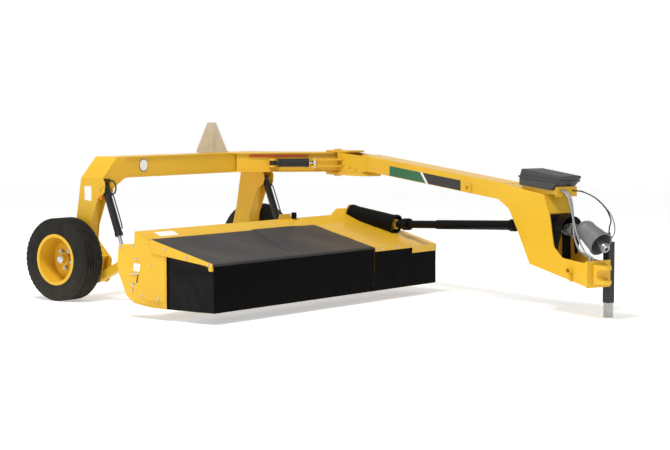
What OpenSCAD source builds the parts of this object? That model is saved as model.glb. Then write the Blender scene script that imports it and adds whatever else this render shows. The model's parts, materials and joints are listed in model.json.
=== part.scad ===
// Trailed disc mower: a portal frame on two wheels, a swinging tongue with a gooseneck hitch,
// and a curtained cutting deck carried on lift arms. +Z is up, -Y is forward, +X is the machine's left.
// Places are written in a yard frame: x from the deck's right end, y back from the front curtain,
// z up from the ground. place() shifts that frame so the origin lies under the middle of the machine.

/* [Deck] */
// Length of the cutting deck along the cutterbar
deck_l = 3300; // [3200:10:3400]
// Height of the deck's front edge
deck_front_z = 505; // [480:5:530]
// Distance of the roof's ridge line behind the front curtain
ridge_y = 740; // [700:5:780]
// Height of the ridge line
ridge_z = 685; // [660:5:700]
// Distance of the roof's back edge behind the front curtain
back_y = 890; // [860:5:930]
// Height of the roof's back edge
back_z = 751; // [730:5:770]
// Height of the curtains' lower hem
hem_z = 99; // [80:1:130]
// Length of the steel roof at the drive end
steel_l = 1010; // [900:10:1100]
// Length of the lowered step of the steel roof at the drive end
step_l = 410; // [350:10:450]
// Sheet metal thickness
sheet_t = 4; // [3:0.5:6]
// Thickness of the rubberised cloth
cloth_t = 5; // [3:0.5:6]
// Thickness of the end plates
end_t = 6; // [5:1:10]
// Rearmost reach of the end plates behind the front curtain
end_back_y = 1098; // [1080:2:1120]
// Distance of the end plates' front edge behind the front curtain
end_front_y = 526; // [480:2:560]

/* [Cutterbar] */
// Number of cutting discs
disc_count = 7; // [5:1:7]
// Distance between neighbouring discs
disc_pitch = 443; // [430:1:450]
// Radius of a disc
disc_r = 165; // [150:1:175]
// Radius that the knife tips sweep
knife_r = 238; // [225:1:245]
// Distance of the discs' axes behind the front curtain
bar_y = 450; // [420:5:480]
// Depth of the cutterbar, front to back
bar_d = 300; // [260:5:320]
// Height of the cutterbar's underside as parked
bar_z = 96; // [90:1:110]
// Thickness of the cutterbar
bar_h = 56; // [50:1:60]

/* [Wheels] */
// Tyre outside diameter
tyre_d = 775; // [740:5:800]
// Tyre section width
tyre_w = 280; // [250:5:300]
// Diameter of the rim's flanges
rim_d = 480; // [460:5:490]
// Place of the right wheel's centre along the deck
right_wheel_x = 648; // [620:2:700]
// Distance of the wheel axles behind the front curtain
wheel_y = 2408; // [2390:2:2440]
// Gap between a tyre and its leg
tyre_gap = 32; // [25:1:45]
// Radius of the wheel spindles
spindle_r = 30; // [26:1:34]

/* [Portal frame] */
// Width of the right leg
right_leg_w = 120; // [112:2:140]
// Distance of the left leg's centre inside the deck's drive end
left_leg_in = 70; // [40:5:100]
// Width of the left leg
left_leg_w = 160; // [140:2:180]
// Height of the beam's top
beam_top = 1339; // [1320:1:1360]
// Height of the beam's box
beam_h = 197; // [180:1:210]
// Distance of the beam's front face behind the front curtain
beam_front = 2070; // [2060:2:2080]
// Depth of the beam, front to back
beam_d = 280; // [270:2:300]
// Wall of the welded boxes
wall = 8; // [6:1:10]
// Height and width of the chamfer at the right end of the beam
beam_chamfer = 198; // [180:2:210]

/* [Tongue] */
// Reach of the tongue's pivot beyond the deck's drive end
pivot_out = 250; // [220:5:280]
// Distance of the tongue's pivot behind the front curtain
pivot_y = 1390; // [1370:5:1410]
// Parked heading of the tongue from straight ahead
heading = -18; // [-22:1:-14]
// Width of the tongue's box beam
tongue_w = 220; // [200:5:230]
// Height of the tongue's box beam
tongue_h = 153; // [140:1:165]
// Height of the tongue's top line over its pivot
tongue_top = 1376; // [1366:1:1390]
// Slope of the tongue's top line
tongue_slope = 0.09; // [0.08:0.005:0.1]
// Width over the gooseneck's side plates
goose_w = 270; // [256:2:290]
// Thickness of the gooseneck's side plates
goose_t = 10; // [8:1:14]
// Reach of the gooseneck's end plate from the pivot
goose_s = 3890; // [3860:5:3920]
// Reach of the hitch pin from the pivot
hitch_s = 3990; // [3970:5:4010]
// Height of the drawbar gap's middle
hitch_z = 388; // [370:2:400]
// Height of the gap between the clevis ears
hitch_gap = 92; // [80:2:100]
// Radius of the hitch pin's hole
hitch_pin_r = 16.5; // [15:0.5:18]

/* [Driveline] */
// Height of the drive shaft at the gooseneck
drive_front_z = 750; // [740:5:760]
// Reach of the front drive joint from the pivot
drive_front_s = 2900; // [2880:5:2920]
// Distance of the gearbox's input inside the deck's drive end
gear_in = 190; // [170:5:210]
// Distance of the rear drive joint behind the front curtain
drive_back_y = 330; // [320:5:340]
// Height of the gearbox's input
gear_z = 665; // [660:1:670]
// Radius of the outer drive guard
guard_r = 44; // [40:1:48]
// Radius of the power take-off hub's bore
pto_r = 17.5; // [17:0.5:18]

/* [Lift] */
// Distance of the lift arms' pivot behind the front curtain
arm_y = 2150; // [2140:2:2160]
// Height of the lift arms' pivot
arm_z = 215; // [205:1:225]
// Distance of the deck's hanging pins behind the front curtain
hang_y = 1250; // [1230:5:1270]
// Height of the deck's hanging pins
hang_z = 400; // [390:2:410]
// Width of a lift arm
arm_w = 80; // [70:2:84]
// Radius of the lift pins
pin_r = 25; // [20:1:26]
// Radius of a lift cylinder's barrel
barrel_r = 35; // [32:1:38]
// Radius of a cylinder's rod
rod_r = 18; // [15:1:20]

/* [Hidden] */
$fn = 64;

yellow = [0.93, 0.70, 0.09];
black = [0.06, 0.06, 0.06];
rubber = [0.11, 0.11, 0.11];
steel = [0.62, 0.62, 0.62];
grey = [0.45, 0.45, 0.44];

hose_r = 9;
cable_r = 6;
hose_x = [-70, -44];
cable_x = 70;

// Clearances: a turning pin in its eye, a moving piece beside another, and cloth beside steel
run = 0.05;
side_gap = 8;
soft_gap = 0.4;

tyre_r = tyre_d / 2;
pivot_r = 127;
gear_w = 190;
jack_x = 174;
jack_s = 3840;
jack_w = 70;
left_leg_x = deck_l - left_leg_in;
pivot_x = deck_l + pivot_out;
gear_x = deck_l - gear_in;
right_leg_x = right_wheel_x + tyre_w / 2 + tyre_gap + right_leg_w / 2;
left_wheel_x = left_leg_x + left_leg_w / 2 + tyre_gap + tyre_w / 2;
steel_x = deck_l - steel_l;
step_x = deck_l - step_l;
beam_low = beam_top - beam_h;
hitch_round = 48;
hitch_tip = hitch_s + hitch_round;
nose_y = pivot_y - hitch_s * cos(heading) - hitch_round;

// The yard frame's point that becomes the origin
origin_x = (pivot_x + pivot_r) / 2;
origin_y = (wheel_y + tyre_r + nose_y) / 2;

module place() { translate([-origin_x, -origin_y, 0]) children(); }

// The tongue's own frame: x to its left, -y forward from the pivot, z up from the ground
module on_tongue() { place() translate([pivot_x, pivot_y, 0]) rotate([0, 0, heading]) children(); }

// Outlines drawn in a plane and pushed along one axis
module along_x(x0, t) { translate([x0, 0, 0]) rotate([90, 0, 90]) linear_extrude(t) children(); }
module along_y(y0, t) { translate([0, y0 + t, 0]) rotate([90, 0, 0]) linear_extrude(t) children(); }
module along_z(z0, t) { translate([0, 0, z0]) linear_extrude(t) children(); }
module pin_x(x0, x1, r) { translate([x0, 0, 0]) rotate([0, 90, 0]) cylinder(r = r, h = x1 - x0); }
module pin_y(y0, y1, r) { translate([0, y1, 0]) rotate([90, 0, 0]) cylinder(r = r, h = y1 - y0); }
module pin_z(z0, z1, r) { translate([0, 0, z0]) cylinder(r = r, h = z1 - z0); }

// An outline whose corners [x, y, radius] are rounded by arcs
function flat2(p) = [p[0], p[1]];
function turned(v, a) = [v[0] * cos(a) - v[1] * sin(a), v[0] * sin(a) + v[1] * cos(a)];
function corner(a, b, c, r, n) = r == 0 ? [b] :
    let (u = (a - b) / norm(a - b), v = (c - b) / norm(c - b), half = acos(u * v) / 2,
        middle = b + (u + v) / norm(u + v) * r / sin(half), first = b + u * r / tan(half) - middle,
        sweep = sign(u[0] * v[1] - u[1] * v[0]) * (2 * half - 180))
    [for (i = [0 : n]) middle + turned(first, sweep * i / n)];
function rounded(pts, n = 6) = [for (i = [0 : len(pts) - 1])
    each corner(flat2(pts[(i + len(pts) - 1) % len(pts)]), flat2(pts[i]), flat2(pts[(i + 1) % len(pts)]),
        len(pts[i]) > 2 ? pts[i][2] : 0, n)];

// A straight strip between two points of a plane
module strip(p, q, h) {
    d = q - p;
    translate(p) rotate(atan2(d[1], d[0])) translate([0, -h / 2]) square([norm(d), h]);
}
module disc_at(p, r) { translate(p) circle(r = r); }

// A point of the tongue's side view, s forward of the pivot, for outlines pushed along x
function ahead(pts) = [for (p = pts) len(p) > 2 ? [-p[0], p[1], p[2]] : [-p[0], p[1]]];
function tongue_z(s) = tongue_top - tongue_slope * s;

// Wheels, drawn about the X axis with the hub side towards +X
bead_r = rim_d / 2 - 23;
bead_a = tyre_w / 2 - 31;
tyre_wall = 18;
groove_w = 12;
groove_d = 12;
groove_pitch = 36;
module tyre() {
    half = tyre_w / 2;
    outer = [[bead_r, -bead_a], [rim_d / 2 + 3, -bead_a], [rim_d / 2 + 6, -bead_a - 13],
        [tyre_r - 87, -half, 40], [tyre_r - 22, -half + 8, 30], [tyre_r, -half + 32, 8],
        [tyre_r, half - 32, 8], [tyre_r - 22, half - 8, 30], [tyre_r - 87, half, 40],
        [rim_d / 2 + 6, bead_a + 13], [rim_d / 2 + 3, bead_a], [bead_r, bead_a]];
    inner = [[bead_r - 1, -bead_a + tyre_wall - 6], [rim_d / 2 + 22, -bead_a + tyre_wall - 8],
        [tyre_r - 85, -half + tyre_wall, 30], [tyre_r - 32, -half + tyre_wall + 20, 25],
        [tyre_r - 32, half - tyre_wall - 20, 25], [tyre_r - 85, half - tyre_wall, 30],
        [rim_d / 2 + 22, bead_a - tyre_wall + 8], [bead_r - 1, bead_a - tyre_wall + 6]];
    rotate([0, 90, 0]) difference() {
        rotate_extrude() difference() {
            polygon(rounded(outer));
            polygon(rounded(inner));
        }
        for (i = [-2 : 2]) rotate_extrude()
            translate([tyre_r - groove_d, i * groove_pitch - groove_w / 2]) square([groove_d + 5,
                groove_w]);
    }
}
rim_t = 7;
dish_a = 62;
hub_r = 62;
hub_in = 96;
lug_count = 5;
lug_pcr = 86;
module rim() {
    rotate([0, 90, 0]) difference() {
        union() {
            rotate_extrude() union() {
                translate([bead_r - 1 - rim_t, -bead_a - 10]) square([rim_t, 2 * bead_a + 20]);
                for (side = [-1, 1]) translate([bead_r - 1 - rim_t, side * (bead_a + 5.5) - 4.5])
                    square([rim_d / 2 - bead_r + 1 + rim_t, 9]);
                polygon([[bead_r - 4, dish_a], [bead_r - 4, dish_a + 12], [150, dish_a - 14],
                    [110, dish_a - 22], [hub_r - 4, dish_a - 22], [hub_r - 4, dish_a - 34],
                    [114, dish_a - 34], [158, dish_a - 26]]);
            }
            translate([0, 0, -6]) cylinder(r = hub_r, h = hub_in + 6);
            translate([0, 0, -52]) cylinder(r = 40, h = 50);
            for (i = [0 : lug_count - 1]) rotate(i * 360 / lug_count)
                translate([lug_pcr, 0, dish_a - 52]) cylinder(r = 13, h = 24);
        }
        cylinder(r = spindle_r + run, h = hub_in + 20);
    }
}
module right_tyre() { color(rubber) place() translate([right_wheel_x, wheel_y, tyre_r]) tyre(); }
module right_rim() { color(yellow) place() translate([right_wheel_x, wheel_y, tyre_r]) rim(); }
module left_tyre() { color(rubber) place() translate([left_wheel_x, wheel_y, tyre_r]) tyre(); }
module left_rim() { color(yellow) place() translate([left_wheel_x, wheel_y, tyre_r]) mirror([1, 0,
    0]) rim(); }

// Legs: two side plates with a nose for the cylinder and a fork for the lift arm, and a box between
cyl_y = 2090;
cyl_z = 1062;
leg_plate = 10;
pin_head = 10;
leg_top = beam_top - beam_chamfer;
leg_back = beam_front + beam_d;
function leg_side() = [[leg_back, leg_top], [leg_back + 60, 780], [wheel_y + 72, 520, 60],
    [wheel_y + 72, tyre_r - 57, 60], [wheel_y - 40, 285, 40], [arm_y + 62, arm_z - 20, 20],
    [arm_y + 40, arm_z - 50, 40], [arm_y - 52, arm_z - 50, 48], [arm_y - 60, arm_z + 40, 40],
    [arm_y - 80, 390, 30], [arm_y + 95, 560, 60], [arm_y + 80, 700, 60], [cyl_y + 40, 960, 40],
    [cyl_y - 42, cyl_z - 50, 36], [cyl_y - 48, cyl_z + 36, 36], [beam_front, leg_top]];
function leg_core(in) = [[leg_back - in, leg_top + in], [leg_back + 60 - in, 780],
    [wheel_y + 72 - in, 520, 60], [wheel_y + 72 - in, tyre_r - 57 + in, 40],
    [wheel_y - 40 - in, 285 + in], [arm_y + 84 + in, 285 + in],
    [arm_y - 48 + in * 1.5, 412], [arm_y + 100 + in, 560 - in * 0.6, 40],
    [arm_y + 88 + in, 700], [cyl_y + 85 + in, 1000, 40], [cyl_y + 78 + in, leg_top + in]];
module leg(x, w, wheel_side) {
    inner_w = w - 2 * leg_plate;
    for (side = [-1, 1]) along_x(x + side * (w - leg_plate) / 2 - leg_plate / 2, leg_plate)
        difference() {
            polygon(rounded(leg_side()));
            disc_at([arm_y, arm_z], pin_r - 1);
            disc_at([cyl_y, cyl_z], rod_r);
        }
    difference() {
        along_x(x - inner_w / 2 - 0.5, inner_w + 1) polygon(rounded(leg_core(0)));
        along_x(x - inner_w / 2, inner_w) polygon(rounded(leg_core(wall)));
    }
    // Pins through the plates, and the spindle on its flange
    translate([0, arm_y, arm_z]) pin_x(x - w / 2 - 12, x + w / 2 + 12, pin_r);
    translate([0, cyl_y, cyl_z]) pin_x(x - w / 2 + (wheel_side < 0 ? -pin_head : 1),
        x + w / 2 + (wheel_side > 0 ? pin_head : -1), rod_r + 2);
    reach = tyre_gap + tyre_w / 2 - 14;
    translate([x, wheel_y, tyre_r]) rotate([0, wheel_side * 90, 0]) translate([0, 0, w / 2 - 1]) {
        cylinder(r = 78, h = 15);
        cylinder(r = spindle_r, h = reach + 1);
    }
}
module right_leg() { color(yellow) place() leg(right_leg_x, right_leg_w, -1); }
module left_leg() {
    color(yellow) place() {
        leg(left_leg_x, left_leg_w, 1);
        // Cross pin of the upper link
        translate([0, arm_y, arm_z + link_up]) {
            pin_x(link_x + 28, left_leg_x - left_leg_w / 2 + 4, 34);
            pin_x(link_x - 36, left_leg_x - left_leg_w / 2 + 4, link_pin_r);
        }
    }
}

// Beam: one bent box over both legs, open downwards into the right leg
beam_x0 = right_leg_x - right_leg_w / 2;
beam_x1 = left_leg_x + left_leg_w / 2;
web_x = right_leg_x + right_leg_w / 2;
web_low = 1040;
lip = 10;
flange_t = 12;
module beam() {
    color(yellow) place() {
        difference() {
            along_y(beam_front, beam_d) polygon(rounded([[beam_x0, leg_top],
                [beam_x0 + beam_chamfer, beam_top], [beam_x1, beam_top], [beam_x1, beam_low],
                [web_x + 190, beam_low, 130], [web_x + 10, web_low], [web_x, web_low], [web_x, leg_top]]));
            along_y(beam_front + wall, beam_d - 2 * wall) polygon([[beam_x0 + wall * 1.4, leg_top - 1],
                [beam_x0 + wall * 1.4, leg_top + 2], [beam_x0 + beam_chamfer + wall * 0.6, beam_top - wall],
                [beam_x1 - wall, beam_top - wall], [beam_x1 - wall, beam_low + wall],
                [web_x + 200, beam_low + wall], [web_x - wall, leg_top + wall], [web_x - wall,
                    leg_top - 1]]);
        }
        // Lips of the top and bottom plates along the front and back
        for (y = [beam_front - lip, beam_front + beam_d])
            for (z = [beam_top - flange_t, beam_low])
                translate([web_x + 200, y, z]) cube([beam_x1 - web_x - 200, lip, flange_t]);
    }
}

// Front arm: two flange plates and two webs from the beam to the boss of the tongue's pivot
pivot_pin_r = 38;
arm_root = beam_x1 - 620;
edge_in = 26;
web_t = 10;
// Shift that keeps the right web's end off the flanges' corner
web_shift = [0.4, -0.3];
tangent_right = 225;
tangent_left = 371;
function pivot_arc(r, a0, a1, n = 14) =
    [for (i = [0 : n]) [pivot_x, pivot_y] + r * [cos(a0 + (a1 - a0) * i / n), sin(a0 + (a1 - a0) * i / n)]];
function arm_plan() = concat([[arm_root, beam_front - lip]], pivot_arc(pivot_r, tangent_right,
    tangent_left),
    [[beam_x1, beam_front - lip]]);
swing_base = [pivot_x - 645, pivot_y + 338];
swing_tip = [pivot_x - 342, pivot_y + 34];
swing_z = 1237;
swing_pin_r = 14;
lug_t = 16;
swing_lug_in = 24;
module front_arm() {
    left_dir = [cos(tangent_left), sin(tangent_left)];
    hub = [pivot_x, pivot_y];
    color(yellow) place() {
        difference() {
            union() {
                for (z = [beam_low, beam_top - flange_t]) along_z(z, flange_t) polygon(arm_plan());
                along_z(beam_low + flange_t / 2, beam_h - flange_t) difference() {
                    union() {
                        disc_at(hub, pivot_r - edge_in);
                        strip(web_start + web_shift, web_end, web_t);
                        strip([beam_x1 - 30, beam_front - lip], hub + left_dir * (pivot_r - edge_in - 5),
                            web_t);
                    }
                    translate([beam_x0, beam_front - lip]) square([beam_x1, 200]);
                }
                // Base lugs of the swing cylinder, standing off the right web
                for (z = [swing_z - 24 - lug_t, swing_z + 24]) along_z(z, lug_t) union() {
                    disc_at(swing_base, 36);
                    strip(swing_base, swing_base + [112, 92], 70);
                }
                translate([swing_base[0], swing_base[1], 0]) pin_z(swing_z - 46, swing_z + 46, swing_pin_r);
            }
            translate([pivot_x, pivot_y, 0]) pin_z(beam_low - 10, beam_top + 10, pivot_pin_r + run);
        }
    }
}

// Emblem plate for slow vehicles: a triangle with cut corners on a bracket
sign_x = beam_x1 - 665;
sign_w = 480;
sign_h = 292;
sign_top = 130;
module slow_sign() {
    color([0.62, 0.58, 0.50]) place() {
        y0 = beam_front + beam_d - 40;
        along_y(y0, 4) polygon(rounded([[sign_x - sign_w / 2, beam_top + 12, 6], [sign_x + sign_w / 2,
            beam_top + 12, 6],
            [sign_x + sign_top / 2, beam_top + 12 + sign_h, 10], [sign_x - sign_top / 2,
                beam_top + 12 + sign_h, 10]]));
        along_y(y0 - 12, 12) polygon([[sign_x - 22, beam_top], [sign_x + 22, beam_top],
            [sign_x + 22, beam_top + sign_h * 0.72], [sign_x - 22, beam_top + sign_h * 0.72]]);
        translate([sign_x - sign_w * 0.46, y0 - 34, beam_top]) cube([sign_w * 0.92, 38, 12]);
    }
}

// Hose laid along the outside of the front arm's right web
arm_hose_r = 10;
arm_hose_l = 600;
web_start = [arm_root + 45, beam_front - lip];
web_end = [pivot_x, pivot_y] + (pivot_r - edge_in - 5) * [cos(tangent_right), sin(tangent_right)];
web_turn = atan2(web_end[1] - web_start[1], web_end[0] - web_start[0]);
module arm_hose() {
    color([0.75, 0.12, 0.06]) place() translate([web_start[0], web_start[1], beam_top - 34]) rotate([0, 0,
        web_turn])
        translate([0, -web_t / 2 - arm_hose_r - 0.3, 0]) pin_x(130, 130 + arm_hose_l, arm_hose_r);
}

// Lift arms and the upper link that keeps the deck level
kink = [1760, 400];
lug_y = 1850;
lug_z = 440;
lift_pin_r = 15;
eye_r = 46;
module lift_arm(x, leg_w) {
    boss_w = leg_w - 2 * leg_plate - 2 * 4;
    difference() {
        union() {
            along_x(x - arm_w / 2, arm_w) {
                strip([arm_y, arm_z], kink, 76);
                strip(kink, [hang_y, hang_z], 76);
                for (p = [[arm_y, arm_z], [hang_y, hang_z]]) disc_at(p, eye_r);
                disc_at(kink, 39);
            }
            translate([0, arm_y, arm_z]) pin_x(x - boss_w / 2, x + boss_w / 2, eye_r - 5);
            for (side = [-1, 1]) along_x(x + side * 31 - 7, 14) {
                disc_at([lug_y, lug_z], 30);
                polygon([[lug_y + 30, lug_z], [lug_y - 30, lug_z], [lug_y - 60, 380], [lug_y + 70, 355]]);
            }
        }
        translate([0, arm_y, arm_z]) pin_x(x - 100, x + 100, pin_r + run);
        translate([0, hang_y, hang_z]) pin_x(x - 100, x + 100, pin_r + run);
    }
    translate([0, lug_y, lug_z]) pin_x(x - 46, x + 46, lift_pin_r);
}
module lift_arms() {
    color(yellow) place() {
        lift_arm(right_leg_x, right_leg_w);
        lift_arm(left_leg_x, left_leg_w);
    }
}
link_up = 190;
link_x = gear_x - gear_w / 2 - 75;
link_pin_r = 16;
module top_link() {
    color(yellow) place() difference() {
        along_x(link_x - 20, 40) {
            strip([arm_y, arm_z + link_up], [hang_y, hang_z + link_up], 50);
            for (p = [[arm_y, arm_z + link_up], [hang_y, hang_z + link_up]]) disc_at(p, 36);
        }
        for (p = [[arm_y, arm_z + link_up], [hang_y, hang_z + link_up]])
            translate([0, p[0], p[1]]) pin_x(link_x - 40, link_x + 40, link_pin_r + run);
    }
}

// Lift cylinders, drawn down from the upper pin towards the lug on the lift arm
lift_l = norm([cyl_y - lug_y, cyl_z - lug_z]);
lift_tilt = atan2(cyl_y - lug_y, cyl_z - lug_z);
barrel_l = 470;
module lift_axis(x) { place() translate([x, cyl_y, cyl_z]) rotate([-lift_tilt, 0, 0]) children(); }
module lift_barrel() {
    difference() {
        union() {
            pin_z(-barrel_l, -40, barrel_r);
            pin_z(-barrel_l - 14, -barrel_l + 20, barrel_r + 4);
            pin_x(-26, 26, 34);
            translate([-20, -24, -60]) cube([40, 48, 40]);
            translate([0, -barrel_r + 4, -90]) pin_y(-26, 4, 14);
        }
        pin_z(-barrel_l - 20, -120, rod_r + run);
        pin_x(-40, 40, rod_r + 2 + run);
    }
}
lift_rod_top = 240;
lift_slack = 6;
module lift_rod() {
    difference() {
        union() {
            pin_z(-lift_l, -lift_rod_top, rod_r);
            translate([0, 0, -lift_l]) pin_x(-20, 20, 30);
        }
        translate([0, 0, -lift_l]) pin_x(-30, 30, lift_pin_r + lift_slack);
    }
}
module right_lift_barrel() { color(black) lift_axis(right_leg_x) lift_barrel(); }
module right_lift_rod() { color(steel) lift_axis(right_leg_x) lift_rod(); }
module left_lift_barrel() { color(black) lift_axis(left_leg_x) lift_barrel(); }
module left_lift_rod() { color(steel) lift_axis(left_leg_x) lift_rod(); }

// Swing cylinder from the front arm to the tongue's lugs, drawn forward along its own x
swing_l = norm(swing_tip - swing_base);
swing_turn = atan2(swing_tip[1] - swing_base[1], swing_tip[0] - swing_base[0]);
swing_neck = 52;
swing_r = 42;
module swing_axis() { place() translate([swing_base[0], swing_base[1], swing_z]) rotate([0, 0,
    swing_turn]) children(); }
module swing_barrel() {
    color(black) swing_axis() difference() {
        union() {
            pin_x(10, 70, 20);
            pin_x(swing_neck, swing_l - 68, swing_r);
            pin_x(swing_l - 102, swing_l - 62, swing_r + 4);
            pin_x(swing_neck + 14, swing_neck + 22, swing_r + 3);
            pin_z(-22, 22, 30);
        }
        pin_x(90, swing_l, rod_r + run);
        pin_z(-40, 40, swing_pin_r + run);
    }
}
// The rod carries its pin, and two washers cover the lugs' wide holes
swing_slack = 22;
swing_washer = 2;
module swing_rod() {
    reach = swing_lug_in + lug_t + 2;
    color(steel) swing_axis() {
        pin_x(110, swing_l - 20, rod_r);
        translate([swing_l, 0, 0]) {
            pin_z(-swing_lug_in + 2, swing_lug_in - 2, 28);
            pin_z(-reach - 8, reach + 8, swing_pin_r);
            for (low = [-reach - 6, reach]) pin_z(low, low + 6, swing_pin_r + swing_slack + swing_washer);
        }
    }
}

// Tongue head: a fork over and under the front arm's boss, with lugs for the swing cylinder
head_s = 640;
head_in = 152;
fork_t = 18;
fork_gap = 2;
low_plate_t = 28;
function in_tongue(p) = turned(p - [pivot_x, pivot_y], -heading);
module tongue_head() {
    top0 = beam_top + fork_gap;
    low1 = beam_low - fork_gap;
    lug = in_tongue(swing_tip);
    color(yellow) on_tongue() {
        along_z(top0, fork_t) {
            circle(r = pivot_r - 6);
            translate([-tongue_w / 2, -head_in - 160]) square([tongue_w, head_in + 160]);
        }
        along_z(low1 - low_plate_t, low_plate_t) {
            circle(r = pivot_r - 6);
            polygon(rounded([[-tongue_w / 2, 0], [-tongue_w / 2 - 14, -head_in], [-tongue_w / 2 - 14,
                -head_s + 60, 30],
                [-tongue_w / 2 + 30, -head_s, 20], [tongue_w / 2 - 30, -head_s, 20],
                [tongue_w / 2 + 14, -head_s + 60, 30], [tongue_w / 2 + 14, -head_in], [tongue_w / 2, 0]]));
        }
        for (side = [-1, 1]) along_x(side * (tongue_w / 2 - 6) - 6, 12) polygon(rounded(ahead([[head_in,
            top0 + 1],
            [head_s + 20, tongue_z(head_s + 20) - 9], [head_s + 20, tongue_z(head_s) - tongue_h + 4],
            [head_s - 40, low1 - 1], [head_in, low1 - 1]])));
        along_x(-tongue_w / 2, tongue_w) polygon(ahead([[head_in, low1 - 1], [head_in + 12, low1 - 1],
            [head_in + 12, top0 + 1], [head_in, top0 + 1]]));
        pin_z(low1 - low_plate_t - 16, top0 + fork_t + 12, pivot_pin_r);
        // Lugs from the head's right side to the swing cylinder's rod eye
        for (z = [swing_z - swing_lug_in - lug_t, swing_z + swing_lug_in]) along_z(z, lug_t) difference() {
            union() {
                disc_at(lug, swing_pin_r + swing_slack + 14);
                strip(lug, [-tongue_w / 2 + 10, -head_in - 60], 80);
            }
            disc_at(lug, swing_pin_r + swing_slack);
        }
    }
}

beam_s0 = 560;
beam_s1 = 2790;
// A stretch of the sloping box, w wide and less deep by the given amount
module tongue_run(s0, s1, w, less) {
    along_x(-w / 2, w) polygon(ahead([[s0, tongue_z(s0)], [s1, tongue_z(s1)],
        [s1, tongue_z(s1) - tongue_h + less], [s0, tongue_z(s0) - tongue_h + less]]));
}
module tongue_beam() {
    in_w = tongue_w - 2 * wall - 24;
    slip_w = tongue_w - 24 - 0.2;
    collar_w = goose_w - 2 * goose_t - 0.2;
    color(yellow) on_tongue() difference() {
        union() {
            tongue_run(beam_s0, beam_s1, slip_w, 0);
            tongue_run(head_s + 24, beam_s1 - 62, tongue_w, 0);
            tongue_run(goose_s0 + 4, beam_s1, collar_w, 0);
        }
        translate([0, 0, -wall]) tongue_run(beam_s0 + wall, beam_s1 + 10, in_w, 2 * wall);
    }
}

// Gooseneck: two side plates, a roof, a floor, a front cross plate and the end plate of the hitch
goose_s0 = beam_s1 - 58;
goose_low = 285;
roof_s1 = 3340;
roof_dip = 26;
goose_high = 495;
function goose_roof(s) = tongue_z(s) - roof_dip * (s - goose_s0) / (roof_s1 - goose_s0);
brow = [3417, 880];
throat = [3475, 600];
chin = [3585, 513];
toe = [3840, 488];
heel = [3157, 430];
belly = [2985, 727];
nape = [2870, 905];
function bend(p, r) = concat(p, r);
function goose_side() = [[goose_s0, tongue_z(goose_s0)], [roof_s1, goose_roof(roof_s1), 12], bend(brow, 40),
    bend(throat, 60), bend(chin, 50), bend(toe, 20), [goose_s, goose_high], [goose_s, goose_low],
    bend(heel, 12), bend(belly, 120), bend(nape, 120), [goose_s0, tongue_z(goose_s0) - tongue_h]];
bearing_s = 3090;
bearing_gap = 190;
fork_ear = 14;
cross_r = 14;
cross_reach = 64;
pto_shaft_r = 28;
socket_s = 3700;
socket_z = 412;
module gooseneck() {
    in_w = goose_w - 2 * goose_t;
    color(yellow) on_tongue() difference() {
        union() {
            for (side = [-1, 1]) along_x(side * (goose_w - goose_t) / 2 - goose_t / 2, goose_t)
                polygon(rounded(ahead(goose_side())));
            // Roof ahead of the beam, cross plate along the front edge, floor and end plate
            along_x(-in_w / 2 - 1, in_w + 2) polygon(ahead([[beam_s1 + 0.3, goose_roof(beam_s1)],
                [roof_s1 - 10, goose_roof(roof_s1 - 10)], [roof_s1 - 10,
                    goose_roof(roof_s1 - 10) - goose_t],
                [beam_s1 + 0.3, goose_roof(beam_s1) - goose_t]]));
            along_x(-in_w / 2 - 1, in_w + 2) polygon(ahead([[roof_s1 - 16, goose_roof(roof_s1) - 4],
                [roof_s1 - 4, goose_roof(roof_s1) - 4], brow + [-11, 6], brow + [-23, 6]]));
            along_x(-in_w / 2 - 1, in_w + 2) polygon(ahead([heel + [9, 2], heel + [9, 14],
                [goose_s, goose_low + 14], [goose_s, goose_low + 2]]));
            along_x(-goose_w / 2, goose_w) polygon(ahead([[goose_s - 2, goose_low - 10], [goose_s + 14,
                goose_low - 10],
                [goose_s + 14, goose_high + 12], [goose_s - 2, goose_high + 12]]));
            // Bearing plates of the through shaft
            for (s = [bearing_s, bearing_s + bearing_gap]) {
                along_x(-in_w / 2 - 1, in_w + 2) polygon(ahead([[s, drive_front_z - 90], [s + 12,
                    drive_front_z - 90],
                    [s + 12, drive_front_z + 90], [s, drive_front_z + 90]]));
                translate([0, 0, drive_front_z]) pin_y(-s - 30, -s + 18, 56);
            }
            // Fork that holds the drive line's front cross
            translate([0, 0, drive_front_z]) {
                pin_y(-bearing_s, -drive_front_s - 62, 34);
                translate([-22, -drive_front_s - 76, -cross_reach]) cube([44, 24, 2 * cross_reach]);
                for (side = [-1, 1]) translate([0, -drive_front_s,
                    side * (cross_reach - fork_ear / 2)]) difference() {
                    translate([-22, -60, -fork_ear / 2]) cube([44, 82, fork_ear]);
                    pin_z(-fork_ear, fork_ear, cross_r + run);
                }
            }
            translate([0, -socket_s, socket_z]) pin_x(-goose_w / 2 - 40, goose_w / 2 + 30, 28);
            along_x(-goose_w / 2 - 34, 36) polygon(ahead([[socket_s + 8, socket_z - 24], [socket_s + 18,
                socket_z - 24],
                [socket_s + 30, socket_z - 92], [socket_s + 20, socket_z - 92]]));
        }
        translate([0, -socket_s, socket_z]) pin_x(-goose_w, goose_w, 21);
        translate([0, 0, drive_front_z]) pin_y(-goose_s, -bearing_s - 6, pto_shaft_r + run);
    }
}

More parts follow.
